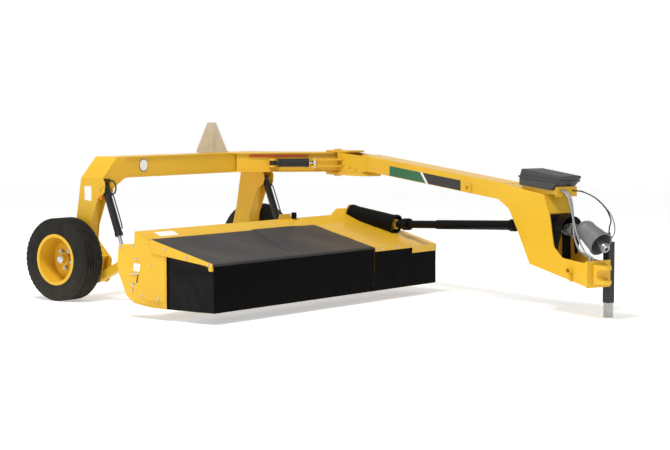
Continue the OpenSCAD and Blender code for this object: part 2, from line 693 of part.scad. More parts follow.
// Moulded guard in the gooseneck's mouth: a plate along its front edge and an arch over the drive joint
guard_s = 3420;
guard_z = drive_front_z;
guard_t = 5;
arch_r = 121;
arch_low = 530;
arch_reach = 150;
arch_rise = 124;
arch_rake = 58;
module arch(in) {
    disc_at([0, guard_z], arch_r - in);
    translate([-arch_r + in, arch_low - in]) square([2 * (arch_r - in), guard_z - arch_low + in]);
}
module nose_guard() {
    in_w = goose_w - 2 * goose_t - 0.6;
    color(black) on_tongue() {
        difference() {
            along_x(-in_w / 2, in_w) polygon(ahead([[guard_s - 8, guard_z + arch_rise + 2], [guard_s,
                guard_z + arch_rise + 2],
                [guard_s + arch_rake, arch_low], [guard_s + arch_rake - 8, arch_low]]));
            along_y(-guard_s - 200, 400) arch(guard_t);
        }
        intersection() {
            along_y(-guard_s - 200, 300) difference() {
                arch(0);
                arch(guard_t);
            }
            along_x(-arch_r - 1, 2 * arch_r + 2) polygon(rounded(ahead([[guard_s - 4, guard_z + arch_rise],
                [guard_s + arch_reach, guard_z + arch_rise, 30], [guard_s + arch_reach - 12, guard_z, 60],
                [guard_s + arch_rake + 16, arch_low - 2], [guard_s + arch_rake - 5, arch_low - 2]])));
        }
    }
}

// Toolbox over the gooseneck, with a raked front and a lid hinged at the back
box_w = 250;
box_t = 5;
box_s0 = 3000;
box_s1 = 3420;
box_low = 1123;
box_slope = 0.08;
box_h = 70;
lid_h = 74;
rake = 1.1;
lid_lip = 8;
lid_gap = 1;
hinge_back = 22;
knuckle_r = 10;
hinge_pin = 5;
knuckle_x = 60;
ear_x1 = 100;
box_hinge = [hinge_back - box_s0, box_low + box_h + 4];
function box_z(s) = box_low - box_slope * (s - box_s0);
function box_line(s, h) = [s + (s > box_s1 - 1 ? rake * h : 0), box_z(s) + h];
module toolbox() {
    color(black) on_tongue() difference() {
        union() {
            along_x(-box_w / 2, box_w) polygon(ahead([box_line(box_s0, 0), box_line(box_s1, 0),
                box_line(box_s1, box_h), box_line(box_s0, box_h)]));
            // Hinge ears and their pin behind the back wall
            for (x = [-ear_x1, knuckle_x + 4]) along_x(x, ear_x1 - knuckle_x - 4) {
                disc_at(box_hinge, knuckle_r);
                strip(box_hinge, [-box_s0 - 3, box_low + 50], 12);
            }
            translate([0, box_hinge[0], box_hinge[1]]) pin_x(-ear_x1 + 1, ear_x1 - 1, hinge_pin);
        }
        along_x(-box_w / 2 + box_t, box_w - 2 * box_t) polygon(ahead([box_line(box_s0, box_t) + [box_t, 0],
            box_line(box_s1, box_t) - [2 * box_t, 0], box_line(box_s1, box_h + 10) - [2 * box_t, 0],
            box_line(box_s0, box_h + 10) + [box_t, 0]]));
    }
}
module toolbox_lid() {
    low = box_h + lid_gap;
    color(black) on_tongue() difference() {
        union() {
            along_x(-box_w / 2 - lid_lip, box_w + 2 * lid_lip) polygon(ahead([box_line(box_s0,
                low) - [lid_lip, 0],
                box_line(box_s1, low) + [lid_lip, 0], box_line(box_s1, low + 14) + [lid_lip, 0],
                box_line(box_s0, low + 14) - [lid_lip, 0]]));
            along_x(-box_w / 2 + 6, box_w - 12) polygon(rounded(ahead([box_line(box_s0, low + 12),
                box_line(box_s1, low + 12), concat(box_line(box_s1, low + lid_h - 22), 12),
                concat(box_line(box_s0, low + lid_h) + [24, 0], 12)])));
            along_x(-knuckle_x, 2 * knuckle_x) {
                disc_at(box_hinge, knuckle_r);
                strip(box_hinge, [-box_s0 + 2, box_low + low + 7], 12);
            }
        }
        translate([0, box_hinge[0], box_hinge[1]]) pin_x(-box_w, box_w, hinge_pin + run);
        along_x(-box_w / 2 + 6 + box_t, box_w - 12 - 2 * box_t) polygon(ahead([box_line(box_s0,
            low - 1) + [box_t, 0],
            box_line(box_s1, low - 1) - [2 * box_t, 0], box_line(box_s1, low + lid_h - 30) - [2 * box_t, 0],
            box_line(box_s0, low + lid_h - box_t - 3) + [30, 0]]));
    }
}

// Hose bracket: two rails that carry the toolbox off the gooseneck's roof, and a lip with hose holes
lip_s = 3478;
lip_z = 1085;
lip_low = 1035;
lip_t = 8;
rail_x = 95;
rail_t = 8;
module hose_bracket() {
    color(yellow) on_tongue() difference() {
        union() {
            for (side = [-1, 1]) along_x(side * rail_x - rail_t / 2, rail_t) polygon(ahead([
                [box_s0 + 10, goose_roof(box_s0 + 10) + 0.3], [roof_s1 - 12,
                    goose_roof(roof_s1 - 12) + 0.3],
                [lip_s + 1, lip_z - 30], [lip_s + 1, lip_z + 30], [box_s1, box_z(box_s1) - 0.3],
                    [box_s0 + 10, box_z(box_s0 + 10) - 0.3]]));
            along_x(-box_w / 2 + 4, box_w - 8) polygon(ahead([[lip_s, lip_low], [lip_s + lip_t, lip_low],
                [lip_s + lip_t, lip_z + 36], [lip_s, lip_z + 36]]));
        }
        for (x = hose_x) translate([x, -lip_s, lip_z]) pin_y(-40, 40, hose_r + soft_gap);
        translate([cable_x, -lip_s, lip_z]) pin_y(-40, 40, cable_r + soft_gap);
        translate([-rail_x / 2, -lip_s - 40, lip_low - 1]) cube([rail_x, 80, 32]);
    }
}

// Hitch clevis: a cast jaw with a rounded throat and a pin hole through both lips
ear_t = 34;
ear_w = 140;
lip_nose = 16;
module hitch_clevis() {
    back = goose_s + 14.2;
    high = hitch_z + hitch_gap / 2;
    low = hitch_z - hitch_gap / 2;
    neck = back + 40;
    color(yellow) on_tongue() difference() {
        intersection() {
            along_x(-ear_w, 2 * ear_w) polygon(rounded(ahead([[back, low - ear_t - 8], [back + 18,
                low - ear_t - 8, 6],
                [back + 44, low - ear_t, 20], [hitch_s + 24, low - ear_t, 16], [hitch_tip, low - lip_nose,
                    8],
                [hitch_tip, low, 6], [neck, low, 36], [neck, high, 36], [hitch_tip, high, 6], [hitch_tip,
                    high + lip_nose, 8],
                [hitch_s + 24, high + ear_t, 16], [back + 44, high + ear_t, 20], [back + 18,
                    high + ear_t + 8, 6],
                [back, high + ear_t + 8]])));
            along_z(low - ear_t - 20, hitch_gap + 2 * ear_t + 40) {
                disc_at([0, -hitch_s], hitch_round);
                polygon([[-ear_w / 2, 1 - back], [-ear_w / 2, -back - 18], [-hitch_round, -hitch_s],
                    [hitch_round, -hitch_s], [ear_w / 2, -back - 18], [ear_w / 2, 1 - back]]);
            }
        }
        translate([0, -hitch_s, 0]) pin_z(low - ear_t - 30, high + ear_t + 30, hitch_pin_r);
    }
}

// Parking jack: a square sleeve on the left of the hitch, and a leg that drops out of it
jack_wall = 5;
jack_top = 656;
jack_low = 128;
leg_gap = 0.5;
module jack_sleeve() {
    pad_x = goose_w / 2 + 0.3;
    color(black) on_tongue() {
        translate([jack_x, -jack_s, 0]) difference() {
            translate([-jack_w / 2, -jack_w / 2, jack_low]) cube([jack_w, jack_w, jack_top - jack_low]);
            translate([-jack_w / 2 + jack_wall, -jack_w / 2 + jack_wall, jack_low - 5])
                cube([jack_w - 2 * jack_wall, jack_w - 2 * jack_wall, jack_top - jack_low]);
        }
        // Pads against the gooseneck's side plate
        for (z = [hitch_z - 66, hitch_z + 52]) translate([pad_x, -jack_s - jack_w / 2 + 5, z])
            cube([jack_x - jack_w / 2 - pad_x + 1, jack_w - 10, 40]);
    }
}
module jack_leg() {
    side = jack_w - 2 * jack_wall - 2 * leg_gap;
    color(grey) on_tongue() translate([jack_x, -jack_s, 0]) difference() {
        translate([-side / 2, -side / 2, 0]) cube([side, side, jack_top - 260]);
        translate([-side / 2 + 4, -side / 2 + 4, 12]) cube([side - 8, side - 8, jack_top]);
    }
}

// Power take-off shaft at the nose, its bell guard and the hanging yoke
joint_s = 3548;
pto_s = 3750;
pto_drop = 30;
yoke_l = 285;
ball_r = 35.7;
ear_in = 36;
ear_out = 50;
bell_r = 90;
bell_t = 5;
mouth_r = 108;
mouth_l = 205;
cone_in = 6;
neck_r = 48;
module pto_shaft() {
    color(grey) on_tongue() translate([0, 0, guard_z]) {
        pin_y(-pto_s + 40, -bearing_s - 8, pto_shaft_r);
        for (side = [-1, 1]) translate([-20, -pto_s - 18,
            side * (ear_in + ear_out) / 2 - (ear_out - ear_in) / 2])
            cube([40, 72, ear_out - ear_in]);
        translate([-20, -pto_s + 40, -ear_out]) cube([40, 14, 2 * ear_out]);
        translate([0, -pto_s, 0]) sphere(r = ball_r);
        translate([0, -pto_s, 0]) pin_z(-ear_out + 1, ear_out - 1, 14);
        // Shielded joint behind the guard's mouth
        for (side = [-1, 1]) {
            translate([side * 41 - 9, -joint_s - 26, -24]) cube([18, 70, 48]);
            translate([-24, -joint_s - 44, side * 41 - 9]) cube([48, 70, 18]);
        }
        pin_y(-joint_s - 52, -joint_s - 26, 52);
        pin_y(-joint_s + 26, -joint_s + 52, 52);
        translate([0, -joint_s, 0]) pin_x(-56, 56, 13);
        translate([0, -joint_s, 0]) pin_z(-56, 56, 13);
    }
}
module yoke_axis() { on_tongue() translate([0, -pto_s, guard_z]) rotate([pto_drop, 0, 0]) children(); }
module bell(in) {
    on_tongue() translate([0, -pto_s, guard_z]) sphere(r = bell_r - in);
    yoke_axis() rotate([90, 0, 0])
        cylinder(r1 = bell_r - cone_in - in, r2 = mouth_r - in, h = mouth_l + (in > 0 ? 30 : 0));
}
module bell_guard() {
    color(grey) difference() {
        union() {
            bell(0);
            on_tongue() translate([0, 0, guard_z]) pin_y(-pto_s + 70, -pto_s + 130, neck_r);
            yoke_axis() pin_y(-mouth_l, -mouth_l + 12, mouth_r + 5);
        }
        bell(bell_t);
        on_tongue() translate([0, 0, guard_z]) pin_y(-pto_s, -pto_s + 150, pto_shaft_r + run);
    }
}
module pto_yoke() {
    color(steel) yoke_axis() difference() {
        union() {
            pin_y(-yoke_l, -yoke_l + 90, 34);
            pin_y(-yoke_l + 16, -yoke_l + 36, 42);
            pin_y(-yoke_l + 80, -46, 25);
            translate([-ear_out, -60, -20]) cube([2 * ear_out, 16, 40]);
            for (side = [-1, 1]) translate([side * (ear_in + ear_out) / 2 - (ear_out - ear_in) / 2, -60,
                -20])
                cube([ear_out - ear_in, 78, 40]);
        }
        pin_y(-yoke_l - 10, -yoke_l + 82, pto_r);
    }
}

// Drive line between the gooseneck and the deck's gearbox
drive_front = concat([pivot_x, pivot_y] + drive_front_s * [sin(heading), -cos(heading)], [drive_front_z]);
drive_back = [gear_x, drive_back_y, gear_z];
drive_v = drive_back - drive_front;
drive_l = norm(drive_v);
drive_turn = -atan2(drive_v[0], drive_v[1]);
drive_rise = asin(drive_v[2] / drive_l);
module drive_axis() { place() translate(drive_front) rotate([0, 0, drive_turn]) rotate([drive_rise, 0,
    0]) children(); }
inner_r = 37;
tube_l = 1160;
module drive_cross() {
    color(grey) place() translate(drive_front) rotate([0, 0, drive_turn]) {
        pin_z(-cross_reach - 4, cross_reach + 4, cross_r);
        pin_x(-cross_reach - 4, cross_reach + 4, cross_r);
        translate([-22, -22, -22]) cube([44, 44, 44]);
    }
}
module drive_tube() {
    color(black) drive_axis() difference() {
        union() {
            pin_y(86, tube_l, guard_r);
            pin_y(86, 140, guard_r + 12);
            translate([-cross_reach, 64, -22]) cube([2 * cross_reach, 24, 44]);
            for (side = [-1, 1]) translate([side * (cross_reach - fork_ear / 2) - fork_ear / 2, -22, -22])
                cube([fork_ear, 92, 44]);
        }
        pin_y(130, tube_l + 10, inner_r + run);
        pin_x(-100, 100, cross_r + run);
    }
}
// The inner tube stops short of the gearbox's joint, to stay out of the hood as the tongue swings
drive_short = 110;
drive_collar = 70;
drive_engaged = 560;
module drive_inner() {
    color(black) drive_axis() {
        pin_y(tube_l - drive_engaged, drive_l - drive_short, inner_r);
        pin_y(drive_l - drive_short - drive_collar, drive_l - drive_short, 58);
    }
}

// Deck roof: a folded sheet over the discs, steel along the back and at the drive end
wall_low = 470;
function roof(front_y, front_z) = [[back_y, wall_low], [back_y, back_z], [ridge_y, ridge_z], [front_y,
    front_z],
    [front_y + sheet_t * 0.3, front_z - sheet_t], [ridge_y + sheet_t * 0.2, ridge_z - sheet_t],
    [back_y - sheet_t, back_z - sheet_t * 1.5], [back_y - sheet_t, wall_low]];
function roof_z(y) = deck_front_z + (ridge_z - deck_front_z) * y / ridge_y;
function step_z(y) = step_front_z + (ridge_z - step_front_z) * y / ridge_y;
ear_count = 3;
ear_x0 = 420;
hinge_ear_t = 10;
shaft_way = 150;
way_front = 200;
flange_lap = 1;
rest_h = 86;
flange_h = 40;
step_drop = 26;
step_front_z = deck_front_z + 2 - step_drop;
step_flange = 66;
module deck_roof() {
    color(yellow) place() {
        difference() {
            union() {
                along_x(end_t, steel_x - end_t + 1) polygon([[back_y, wall_low], [back_y, back_z],
                    [ridge_y, ridge_z],
                    [ridge_y, ridge_z - sheet_t], [back_y - sheet_t, back_z - sheet_t * 1.5],
                        [back_y - sheet_t, wall_low]]);
                along_x(steel_x, step_x - steel_x) polygon(roof(0, deck_front_z + 2));
                along_x(step_x, step_l - end_t) polygon(roof(0, step_front_z));
                translate([steel_x, -sheet_t, deck_front_z + 2 - flange_h]) cube([step_x - steel_x,
                    sheet_t + flange_lap, flange_h]);
                translate([step_x, -sheet_t, step_front_z - step_flange]) cube([step_l - end_t,
                    sheet_t + flange_lap, step_flange]);
            }
            // Way for the drive shaft, under the hood
            translate([gear_x - shaft_way / 2, ridge_y - way_front, wall_low - 1]) cube([shaft_way, 450,
                400]);
        }
        // Rest plate behind the hood
        along_y(back_y - sheet_t - 2, sheet_t + 1) polygon(rounded([[gear_x - 112, back_z - 8],
            [gear_x + 112, back_z - 8],
            [gear_x + 50, back_z + rest_h, 24], [gear_x - 50, back_z + rest_h, 24]]));
        // Ears of the front guard's hinge
        for (i = [0 : ear_count - 1]) along_x(ear_x0 + i * (steel_x - 2 * ear_x0) / (ear_count - 1),
            hinge_ear_t) difference() {
            union() {
                disc_at([hinge_y, hinge_z], hinge_r + 4);
                strip([hinge_y, hinge_z], [ridge_y + 40, ridge_z + 2], 18);
            }
            disc_at([hinge_y, hinge_z], hinge_r + run);
        }
    }
}

// Deck frame: the back tube, the hanging brackets and the cutterbar's end supports
tube_y = 770;
tube_w = 100;
tube_z = 360;
hang_plate = 12;
support_x = 40;
support_t = 20;
module deck_frame() {
    color(yellow) place() {
        difference() {
            translate([end_t, tube_y, tube_z]) cube([deck_l - 2 * end_t, tube_w, tube_w]);
            translate([end_t - 5, tube_y + 6, tube_z + 6]) cube([deck_l, tube_w - 12, tube_w - 12]);
        }
        for (x = [right_leg_x, left_leg_x]) {
            for (side = [-1,
                1]) along_x(x + side * (arm_w / 2 + side_gap + hang_plate / 2) - hang_plate / 2, hang_plate)
                union() {
                    disc_at([hang_y, hang_z], 46);
                    polygon([[tube_y + tube_w - 1, tube_z - 10], [hang_y, hang_z - 45.5], [hang_y,
                        hang_z + 45.5],
                        [tube_y + tube_w - 1, tube_z + tube_w - 2]]);
                }
            translate([0, hang_y, hang_z])
                pin_x(x - arm_w / 2 - side_gap - hang_plate - 8,
                    x + arm_w / 2 + side_gap + hang_plate + 8, pin_r);
        }
        // Bracket of the upper link
        for (side = [-1, 1]) along_x(link_x + side * 32 - 6, 12) union() {
            disc_at([hang_y, hang_z + link_up], 34);
            polygon([[tube_y + tube_w - 1, tube_z + 20], [hang_y + 20, hang_z + link_up - 27],
                [hang_y - 10, hang_z + link_up + 32], [tube_y + tube_w - 1, tube_z + tube_w]]);
        }
        translate([0, hang_y, hang_z + link_up]) pin_x(link_x - 44, link_x + 44, link_pin_r);
        // Supports from the tube down to the cutterbar's ends
        for (x = [support_x, deck_l - support_x - support_t]) along_x(x, support_t) polygon(rounded([
            [tube_y + 20, tube_z + 1], [tube_y + tube_w, tube_z + 1], [tube_y + tube_w, bar_z + 170, 60],
            [bar_y + bar_d / 2 + 40, bar_z, 40], [bar_y, bar_z], [bar_y, bar_z + bar_h],
            [bar_y + bar_d / 2 + 60, bar_z + bar_h + 10, 60]]));
    }
}

// End plates, with their stepped back edge and rounded heel
function end_outline() = [[1079, 630], [end_back_y, 469, 60], [1082, 377, 60], [988, 190, 70], [905, 132,
    60],
    [720, hem_z + 6], [end_front_y, hem_z + 3], [end_front_y, roof_z(end_front_y) - 20], [ridge_y,
        ridge_z - 2],
    [back_y, back_z], [897, 644]];
module end_plates() {
    color(yellow) place() for (x = [0, deck_l - end_t]) {
        along_x(x, end_t) polygon(rounded(end_outline()));
        // Folded step along the lower edge
        along_x(x == 0 ? -16 : deck_l, 16) polygon([[560, 150], [720, 150], [720, 154], [560, 154]]);
    }
}

// Curtains: front cloth below the steel roof and the side cloth at the drive end
module deck_curtain() {
    color(black) place() {
        translate([steel_x + soft_gap, flange_lap + soft_gap, hem_z])
            cube([deck_l - steel_x - 2 * soft_gap, cloth_t, deck_front_z - step_drop - 12 - hem_z]);
        along_x(deck_l - end_t - cloth_t - soft_gap,
            cloth_t) polygon([[cloth_t + flange_lap + 2 * soft_gap, hem_z],
            [end_front_y + 10, hem_z], [end_front_y + 10, roof_z(end_front_y) - 40],
            [cloth_t + flange_lap + 2 * soft_gap, deck_front_z - step_drop - 14]]);
    }
}

// Front guard: hinged arms, cross bars and front roll that carry the cloth
hinge_y = ridge_y - 16;
hinge_z = ridge_z - 14;
hinge_r = 12;
tarp_back = ridge_y - 26;
guard_x0 = end_t + 6;
guard_x1 = steel_x - 6;
guard_arm_w = 36;
arm_count = 4;
tarp_front = cloth_t + 2;
tarp_rise = 8;
arm_t = 30;
side_arm_t = 8;
side_arm_x = -12;
function tarp_z(y) = deck_front_z + (roof_z(tarp_back) + tarp_rise - deck_front_z) * (y - tarp_front)
    / (tarp_back - tarp_front);
roll_r = 18;
roll_at = [cloth_t + roll_r + 2.3, deck_front_z - 34];
module guard_frame() {
    lean = atan((tarp_z(tarp_back) - tarp_z(tarp_front)) / (tarp_back - tarp_front));
    drop = arm_t / 2 / cos(lean) + soft_gap;
    nose = [40, tarp_z(40) - drop];
    tail = [ridge_y - 50, tarp_z(ridge_y - 50) - drop];
    color(yellow) place() {
        for (i = [0 : arm_count - 1])
            along_x(guard_x0 + i * (guard_x1 - guard_x0 - guard_arm_w) / (arm_count - 1), guard_arm_w) {
                disc_at([hinge_y, hinge_z], hinge_r + 5);
                strip(tail, [hinge_y, hinge_z], 24);
                strip(nose, tail, arm_t);
                strip(roll_at, nose + [2, -4], 28);
                disc_at(roll_at, roll_r + 2);
            }
        // Tapered plate outside the end plate, carried by the front roll
        along_x(side_arm_x, side_arm_t) polygon(rounded([[2, deck_front_z - 14, 8], [688, 574, 10], [700,
            640, 20],
            [698, ridge_z + 6, 10], [2, deck_front_z + 12, 8]]));
        along_x(side_arm_x, side_arm_t) strip(roll_at, roll_at + [0, 40], 2 * roll_r);
        translate([0, hinge_y, hinge_z]) pin_x(guard_x0 - 2, guard_x1, hinge_r);
        translate([0, roll_at[0], roll_at[1]]) pin_x(side_arm_x + 1, guard_x1, roll_r);
    }
}
module guard_tarp() {
    color(black) place() along_x(guard_x0, guard_x1 - guard_x0) polygon([[tarp_front, tarp_z(tarp_front)],
        [tarp_back, tarp_z(tarp_back)], [tarp_back, tarp_z(tarp_back) + cloth_t], [tarp_front,
            tarp_z(tarp_front) + cloth_t]]);
}
module guard_curtain() {
    color(black) place() {
        translate([2, 0, hem_z]) cube([guard_x1 - 2, cloth_t, deck_front_z + cloth_t - hem_z]);
        along_x(2, cloth_t - 2) difference() {
            polygon([[cloth_t - 1, hem_z], [end_front_y - side_gap, hem_z],
                [end_front_y - side_gap, roof_z(end_front_y) - 30], [cloth_t - 1, deck_front_z - 8]]);
            disc_at(roll_at, roll_r + soft_gap);
        }
    }
}

// Gearbox on the back tube, its input shaft, and the drop housing down to the cutterbar
drop_w = 100;
gear_y = 880;
module gearbox() {
    back = bar_y + bar_d / 2 - 42;
    color(yellow) place() {
        along_x(gear_x - gear_w / 2, gear_w) polygon(rounded([[gear_y + 12, tube_z + tube_w + 0.5],
            [gear_y + 190, 500, 30],
            [gear_y + 190, 740, 50], [gear_y + 120, 800, 40], [gear_y + 12, 800, 30]]));
        // Drop case behind the discs, down to the cutterbar's back edge
        along_x(gear_x - drop_w / 2, drop_w) polygon(rounded([[tube_y + tube_w + 0.5, tube_z + tube_w + 1],
            [gear_y + 60, tube_z + tube_w + 1], [gear_y + 50, bar_z + 140, 50], [gear_y - 80, bar_z + 6,
                60], [back + 0.3, bar_z + 6],
            [back + 0.3, bar_z + bar_h - 4], [tube_y - 50, bar_z + bar_h - 4, 40], [tube_y - 10,
                bar_z + 150, 40],
            [tube_y + tube_w + 0.5, tube_z - 10]]));
        translate([gear_x, 0, gear_z]) {
            pin_y(drive_back_y + 70, gear_y + 20, 26);
            pin_y(gear_y - 30, gear_y + 20, 62);
            pin_y(drive_back_y + 60, drive_back_y + 130, 38);
            for (side = [-1, 1]) translate([-20, drive_back_y + 8, side * 40 - 8]) cube([40, 70, 16]);
            translate([-20, drive_back_y + 62, -46]) cube([40, 20, 92]);
            translate([0, drive_back_y + 28, 0]) sphere(r = 34);
        }
    }
}

// Hood over the rear drive joint: a round shield laid down the roof's slope, with a ring at its mouth
hood_front = [drive_back_y + 6, gear_z - 3];
hood_back = [back_y - 10, back_z - 3];
hood_r = 87;
hood_t = 5;
hood_l = norm(hood_back - hood_front);
hood_lean = atan2(hood_back[1] - hood_front[1], hood_back[0] - hood_front[0]);
module hood_axis() { translate([gear_x, hood_front[0], hood_front[1]]) rotate([hood_lean, 0,
    0]) children(); }
module drive_hood() {
    color(black) place() difference() {
        hood_axis() {
            pin_y(0, hood_l, hood_r);
            pin_y(0, 24, hood_r + 8);
            pin_y(hood_l - 30, hood_l, hood_r + 4);
        }
        hood_axis() pin_y(-20, hood_l + 20, hood_r - hood_t);
        along_x(gear_x - 2 * hood_r, 4 * hood_r) polygon([[0, step_z(0) + soft_gap], [ridge_y,
            ridge_z + soft_gap],
            [back_y, back_z + soft_gap], [back_y + 100, back_z + soft_gap], [back_y + 100, 0], [0, 0]]);
    }
}

// Cutterbar: a flat gear case with a rounded front, turrets under the discs, and skid shoes
turret_r = 72;
turret_h = 10;
shaft_r = 22;
disc_z = bar_z + bar_h + turret_h;
first_disc = (deck_l - (disc_count - 1) * disc_pitch) / 2;
shoe_w = 190;
shoe_low = bar_z - 22;
bar_x0 = support_x + support_t + 0.2;
module cutterbar() {
    front = bar_y - bar_d / 2;
    back = bar_y + bar_d / 2;
    color(grey) place() {
        along_x(bar_x0, deck_l - 2 * bar_x0) polygon(rounded([[front, bar_z + 14, 10], [front + 40, bar_z,
            20], [back - 42, bar_z],
            [back - 42, bar_z + bar_h], [front + 30, bar_z + bar_h, 26]]));
        for (i = [0 : disc_count - 1]) translate([first_disc + i * disc_pitch, bar_y, 0]) {
            pin_z(bar_z + bar_h - 1, disc_z - 1, turret_r);
            pin_z(disc_z - 2, disc_z + 22, shaft_r);
            along_x(-shoe_w / 2, shoe_w) polygon(rounded([[-bar_d / 2 - 14, bar_z + 22], [-bar_d / 2 + 14,
                shoe_low + 4, 20],
                [-bar_d / 2 + 60, shoe_low, 20], [bar_d / 2 - 50, shoe_low], [bar_d / 2 - 50, bar_z + 1],
                [-bar_d / 2 + 56, bar_z + 1], [-bar_d / 2 + 24, bar_z + 4], [-bar_d / 2 - 8, bar_z + 26]]));
        }
    }
}

// Cutting discs: a domed disc with two flats and two swinging knives
disc_t = 8;
knife_w = 46;
knife_t = 5;
module disc(i) {
    color(steel) place() translate([first_disc + i * disc_pitch, bar_y,
        disc_z]) rotate(i % 2 == 0 ? 0 : 90) difference() {
        union() {
            intersection() {
                rotate_extrude() polygon([[0, knife_t + 2], [disc_r, knife_t + 2], [disc_r,
                    knife_t + 2 + disc_t],
                    [disc_r * 0.72, knife_t + 14 + disc_t], [56, knife_t + 22 + disc_t], [40,
                        knife_t + 34 + disc_t],
                    [0, knife_t + 34 + disc_t]]);
                translate([-disc_r - 5, -disc_r * 0.74, 0]) cube([2 * disc_r + 10, disc_r * 1.48, 90]);
            }
            for (side = [0, 180]) rotate(side) {
                translate([disc_r - 28, 0, 1]) along_z(0, knife_t + 2) polygon(rounded([[-20,
                    -knife_w / 2, 10],
                    [knife_r - disc_r + 28, -knife_w / 2], [knife_r - disc_r + 28, knife_w / 2, 14], [-20,
                        knife_w / 2, 10]]));
                translate([disc_r - 28, 0, -4]) cylinder(r = 16, h = 14);
            }
        }
        translate([0, 0, -10]) cylinder(r = shaft_r + run, h = 10 + 24);
    }
}

// Hoses and the lamp cable at the nose, swept along their routes in the tongue's frame
function mix(a, b, c, d, t) = 0.5 * (2 * b + (c - a) * t + (2 * a - 5 * b + 4 * c - d) * t * t
    + (3 * b - a - 3 * c + d) * t * t * t);
function smooth(p, n) = concat([for (i = [0 : len(p) - 2]) for (k = [0 : n - 1])
    mix(p[max(i - 1, 0)], p[i], p[i + 1], p[min(i + 2, len(p) - 1)], k / n)], [p[len(p) - 1]]);
function ring(c, along, r, sides) = let (u = cross(along, [1, 0, 0]), a = u / norm(u), w = cross(along,
    a), b = w / norm(w))
    [for (k = [0 : sides - 1]) c + r * (cos(k * 360 / sides) * a + sin(k * 360 / sides) * b)];
module swept(route, r, steps, sides) {
    path = smooth(route, steps);
    last = len(path) - 1;
    points = [for (i = [0 : last])
        each ring(path[i], path[min(i + 1, last)] - path[max(i - 1, 0)], r, sides)];
    walls = [for (i = [0 : last - 1]) for (k = [0 : sides - 1])
        [i * sides + k, i * sides + (k + 1) % sides, (i + 1) * sides + (k + 1) % sides,
            (i + 1) * sides + k]];
    polyhedron(points, concat([[for (k = [sides - 1 : -1 : 0]) k]],
        walls, [[for (k = [0 : sides - 1]) last * sides + k]]), convexity = 10);
}
plate_top = goose_high + 12;
function lip_run(x) = [[x, 22 - lip_s, lip_z], [x, -20 - lip_s, lip_z], [x, -46 - lip_s, lip_z]];
// The last stretch stands square on the end plate and is three points long
function plate_run(x, high) = [for (up = [high, high / 2, 0.3]) [x, -goose_s - 6, plate_top + up]];
hose_1_route = concat(lip_run(hose_x[0]), [[-76, -3590, 1040], [-90, -3650, 930], [-106, -3710, 800],
    [-114, -3775, 680], [-112, -3840, 590]], plate_run(-102, 44));
hose_2_route = concat(lip_run(hose_x[1]), [[-46, -3585, 1040], [-54, -3626, 930], [-64, -3650, 800],
    [-74, -3676, 690], [-80, -3746, 590], [-76, -3836, 548]], plate_run(-70, 28));
cable_route = concat(lip_run(cable_x), [[80, -3600, 1080], [110, -3720, 1036], [145, -3820, 950], [168,
    -3866, 850],
    [jack_x, -jack_s - 6, 786], [jack_x, -jack_s, jack_top + 78.6]]);
module hose_1() { color(grey) on_tongue() swept(hose_1_route, hose_r, 3, 10); }
module hose_2() { color(grey) on_tongue() swept(hose_2_route, hose_r, 3, 10); }
module light_cable() { color(black) on_tongue() swept(cable_route, cable_r, 3, 8); }
module cable_plug() {
    color(black) on_tongue() translate([jack_x, -jack_s, jack_top + 0.3]) {
        pin_z(0, 50, 24);
        pin_z(50, 78, 13);
    }
}

beam();
front_arm();
right_leg();
left_leg();
slow_sign();
arm_hose();
right_tyre();
right_rim();
left_tyre();
left_rim();
lift_arms();
top_link();
right_lift_barrel();
right_lift_rod();
left_lift_barrel();
left_lift_rod();
swing_barrel();
swing_rod();
tongue_head();
tongue_beam();
gooseneck();
nose_guard();
toolbox();
toolbox_lid();
hose_bracket();
hitch_clevis();
jack_sleeve();
jack_leg();
pto_shaft();
bell_guard();
pto_yoke();
drive_cross();
drive_tube();
drive_inner();
deck_roof();
deck_frame();
end_plates();
deck_curtain();
gearbox();
drive_hood();
cutterbar();
disc(0);  // disc_1
disc(1);  // disc_2
disc(2);  // disc_3
disc(3);  // disc_4
disc(4);  // disc_5
disc(5);  // disc_6
disc(6);  // disc_7
guard_frame();
guard_tarp();
guard_curtain();
hose_1();
hose_2();
light_cable();
cable_plug();
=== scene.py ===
"""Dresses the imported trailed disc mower: paint, cloth, hoses, fasteners, floor, light and camera."""

import json
import math
import random

import bpy
import bmesh
from mathutils import Matrix, Vector


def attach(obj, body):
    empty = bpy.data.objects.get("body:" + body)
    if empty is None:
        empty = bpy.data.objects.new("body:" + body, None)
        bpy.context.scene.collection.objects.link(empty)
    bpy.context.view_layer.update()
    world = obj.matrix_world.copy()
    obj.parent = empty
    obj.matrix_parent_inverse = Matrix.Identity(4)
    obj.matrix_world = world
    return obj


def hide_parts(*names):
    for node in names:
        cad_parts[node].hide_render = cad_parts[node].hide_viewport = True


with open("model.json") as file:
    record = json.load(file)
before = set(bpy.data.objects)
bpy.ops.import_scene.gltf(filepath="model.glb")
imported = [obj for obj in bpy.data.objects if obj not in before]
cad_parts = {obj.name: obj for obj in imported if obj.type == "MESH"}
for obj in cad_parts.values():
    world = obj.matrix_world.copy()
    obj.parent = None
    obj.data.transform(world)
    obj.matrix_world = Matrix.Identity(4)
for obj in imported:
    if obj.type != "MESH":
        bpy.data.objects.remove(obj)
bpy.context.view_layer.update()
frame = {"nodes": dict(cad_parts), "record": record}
NODES = frame["nodes"]
RNG = random.Random(7)

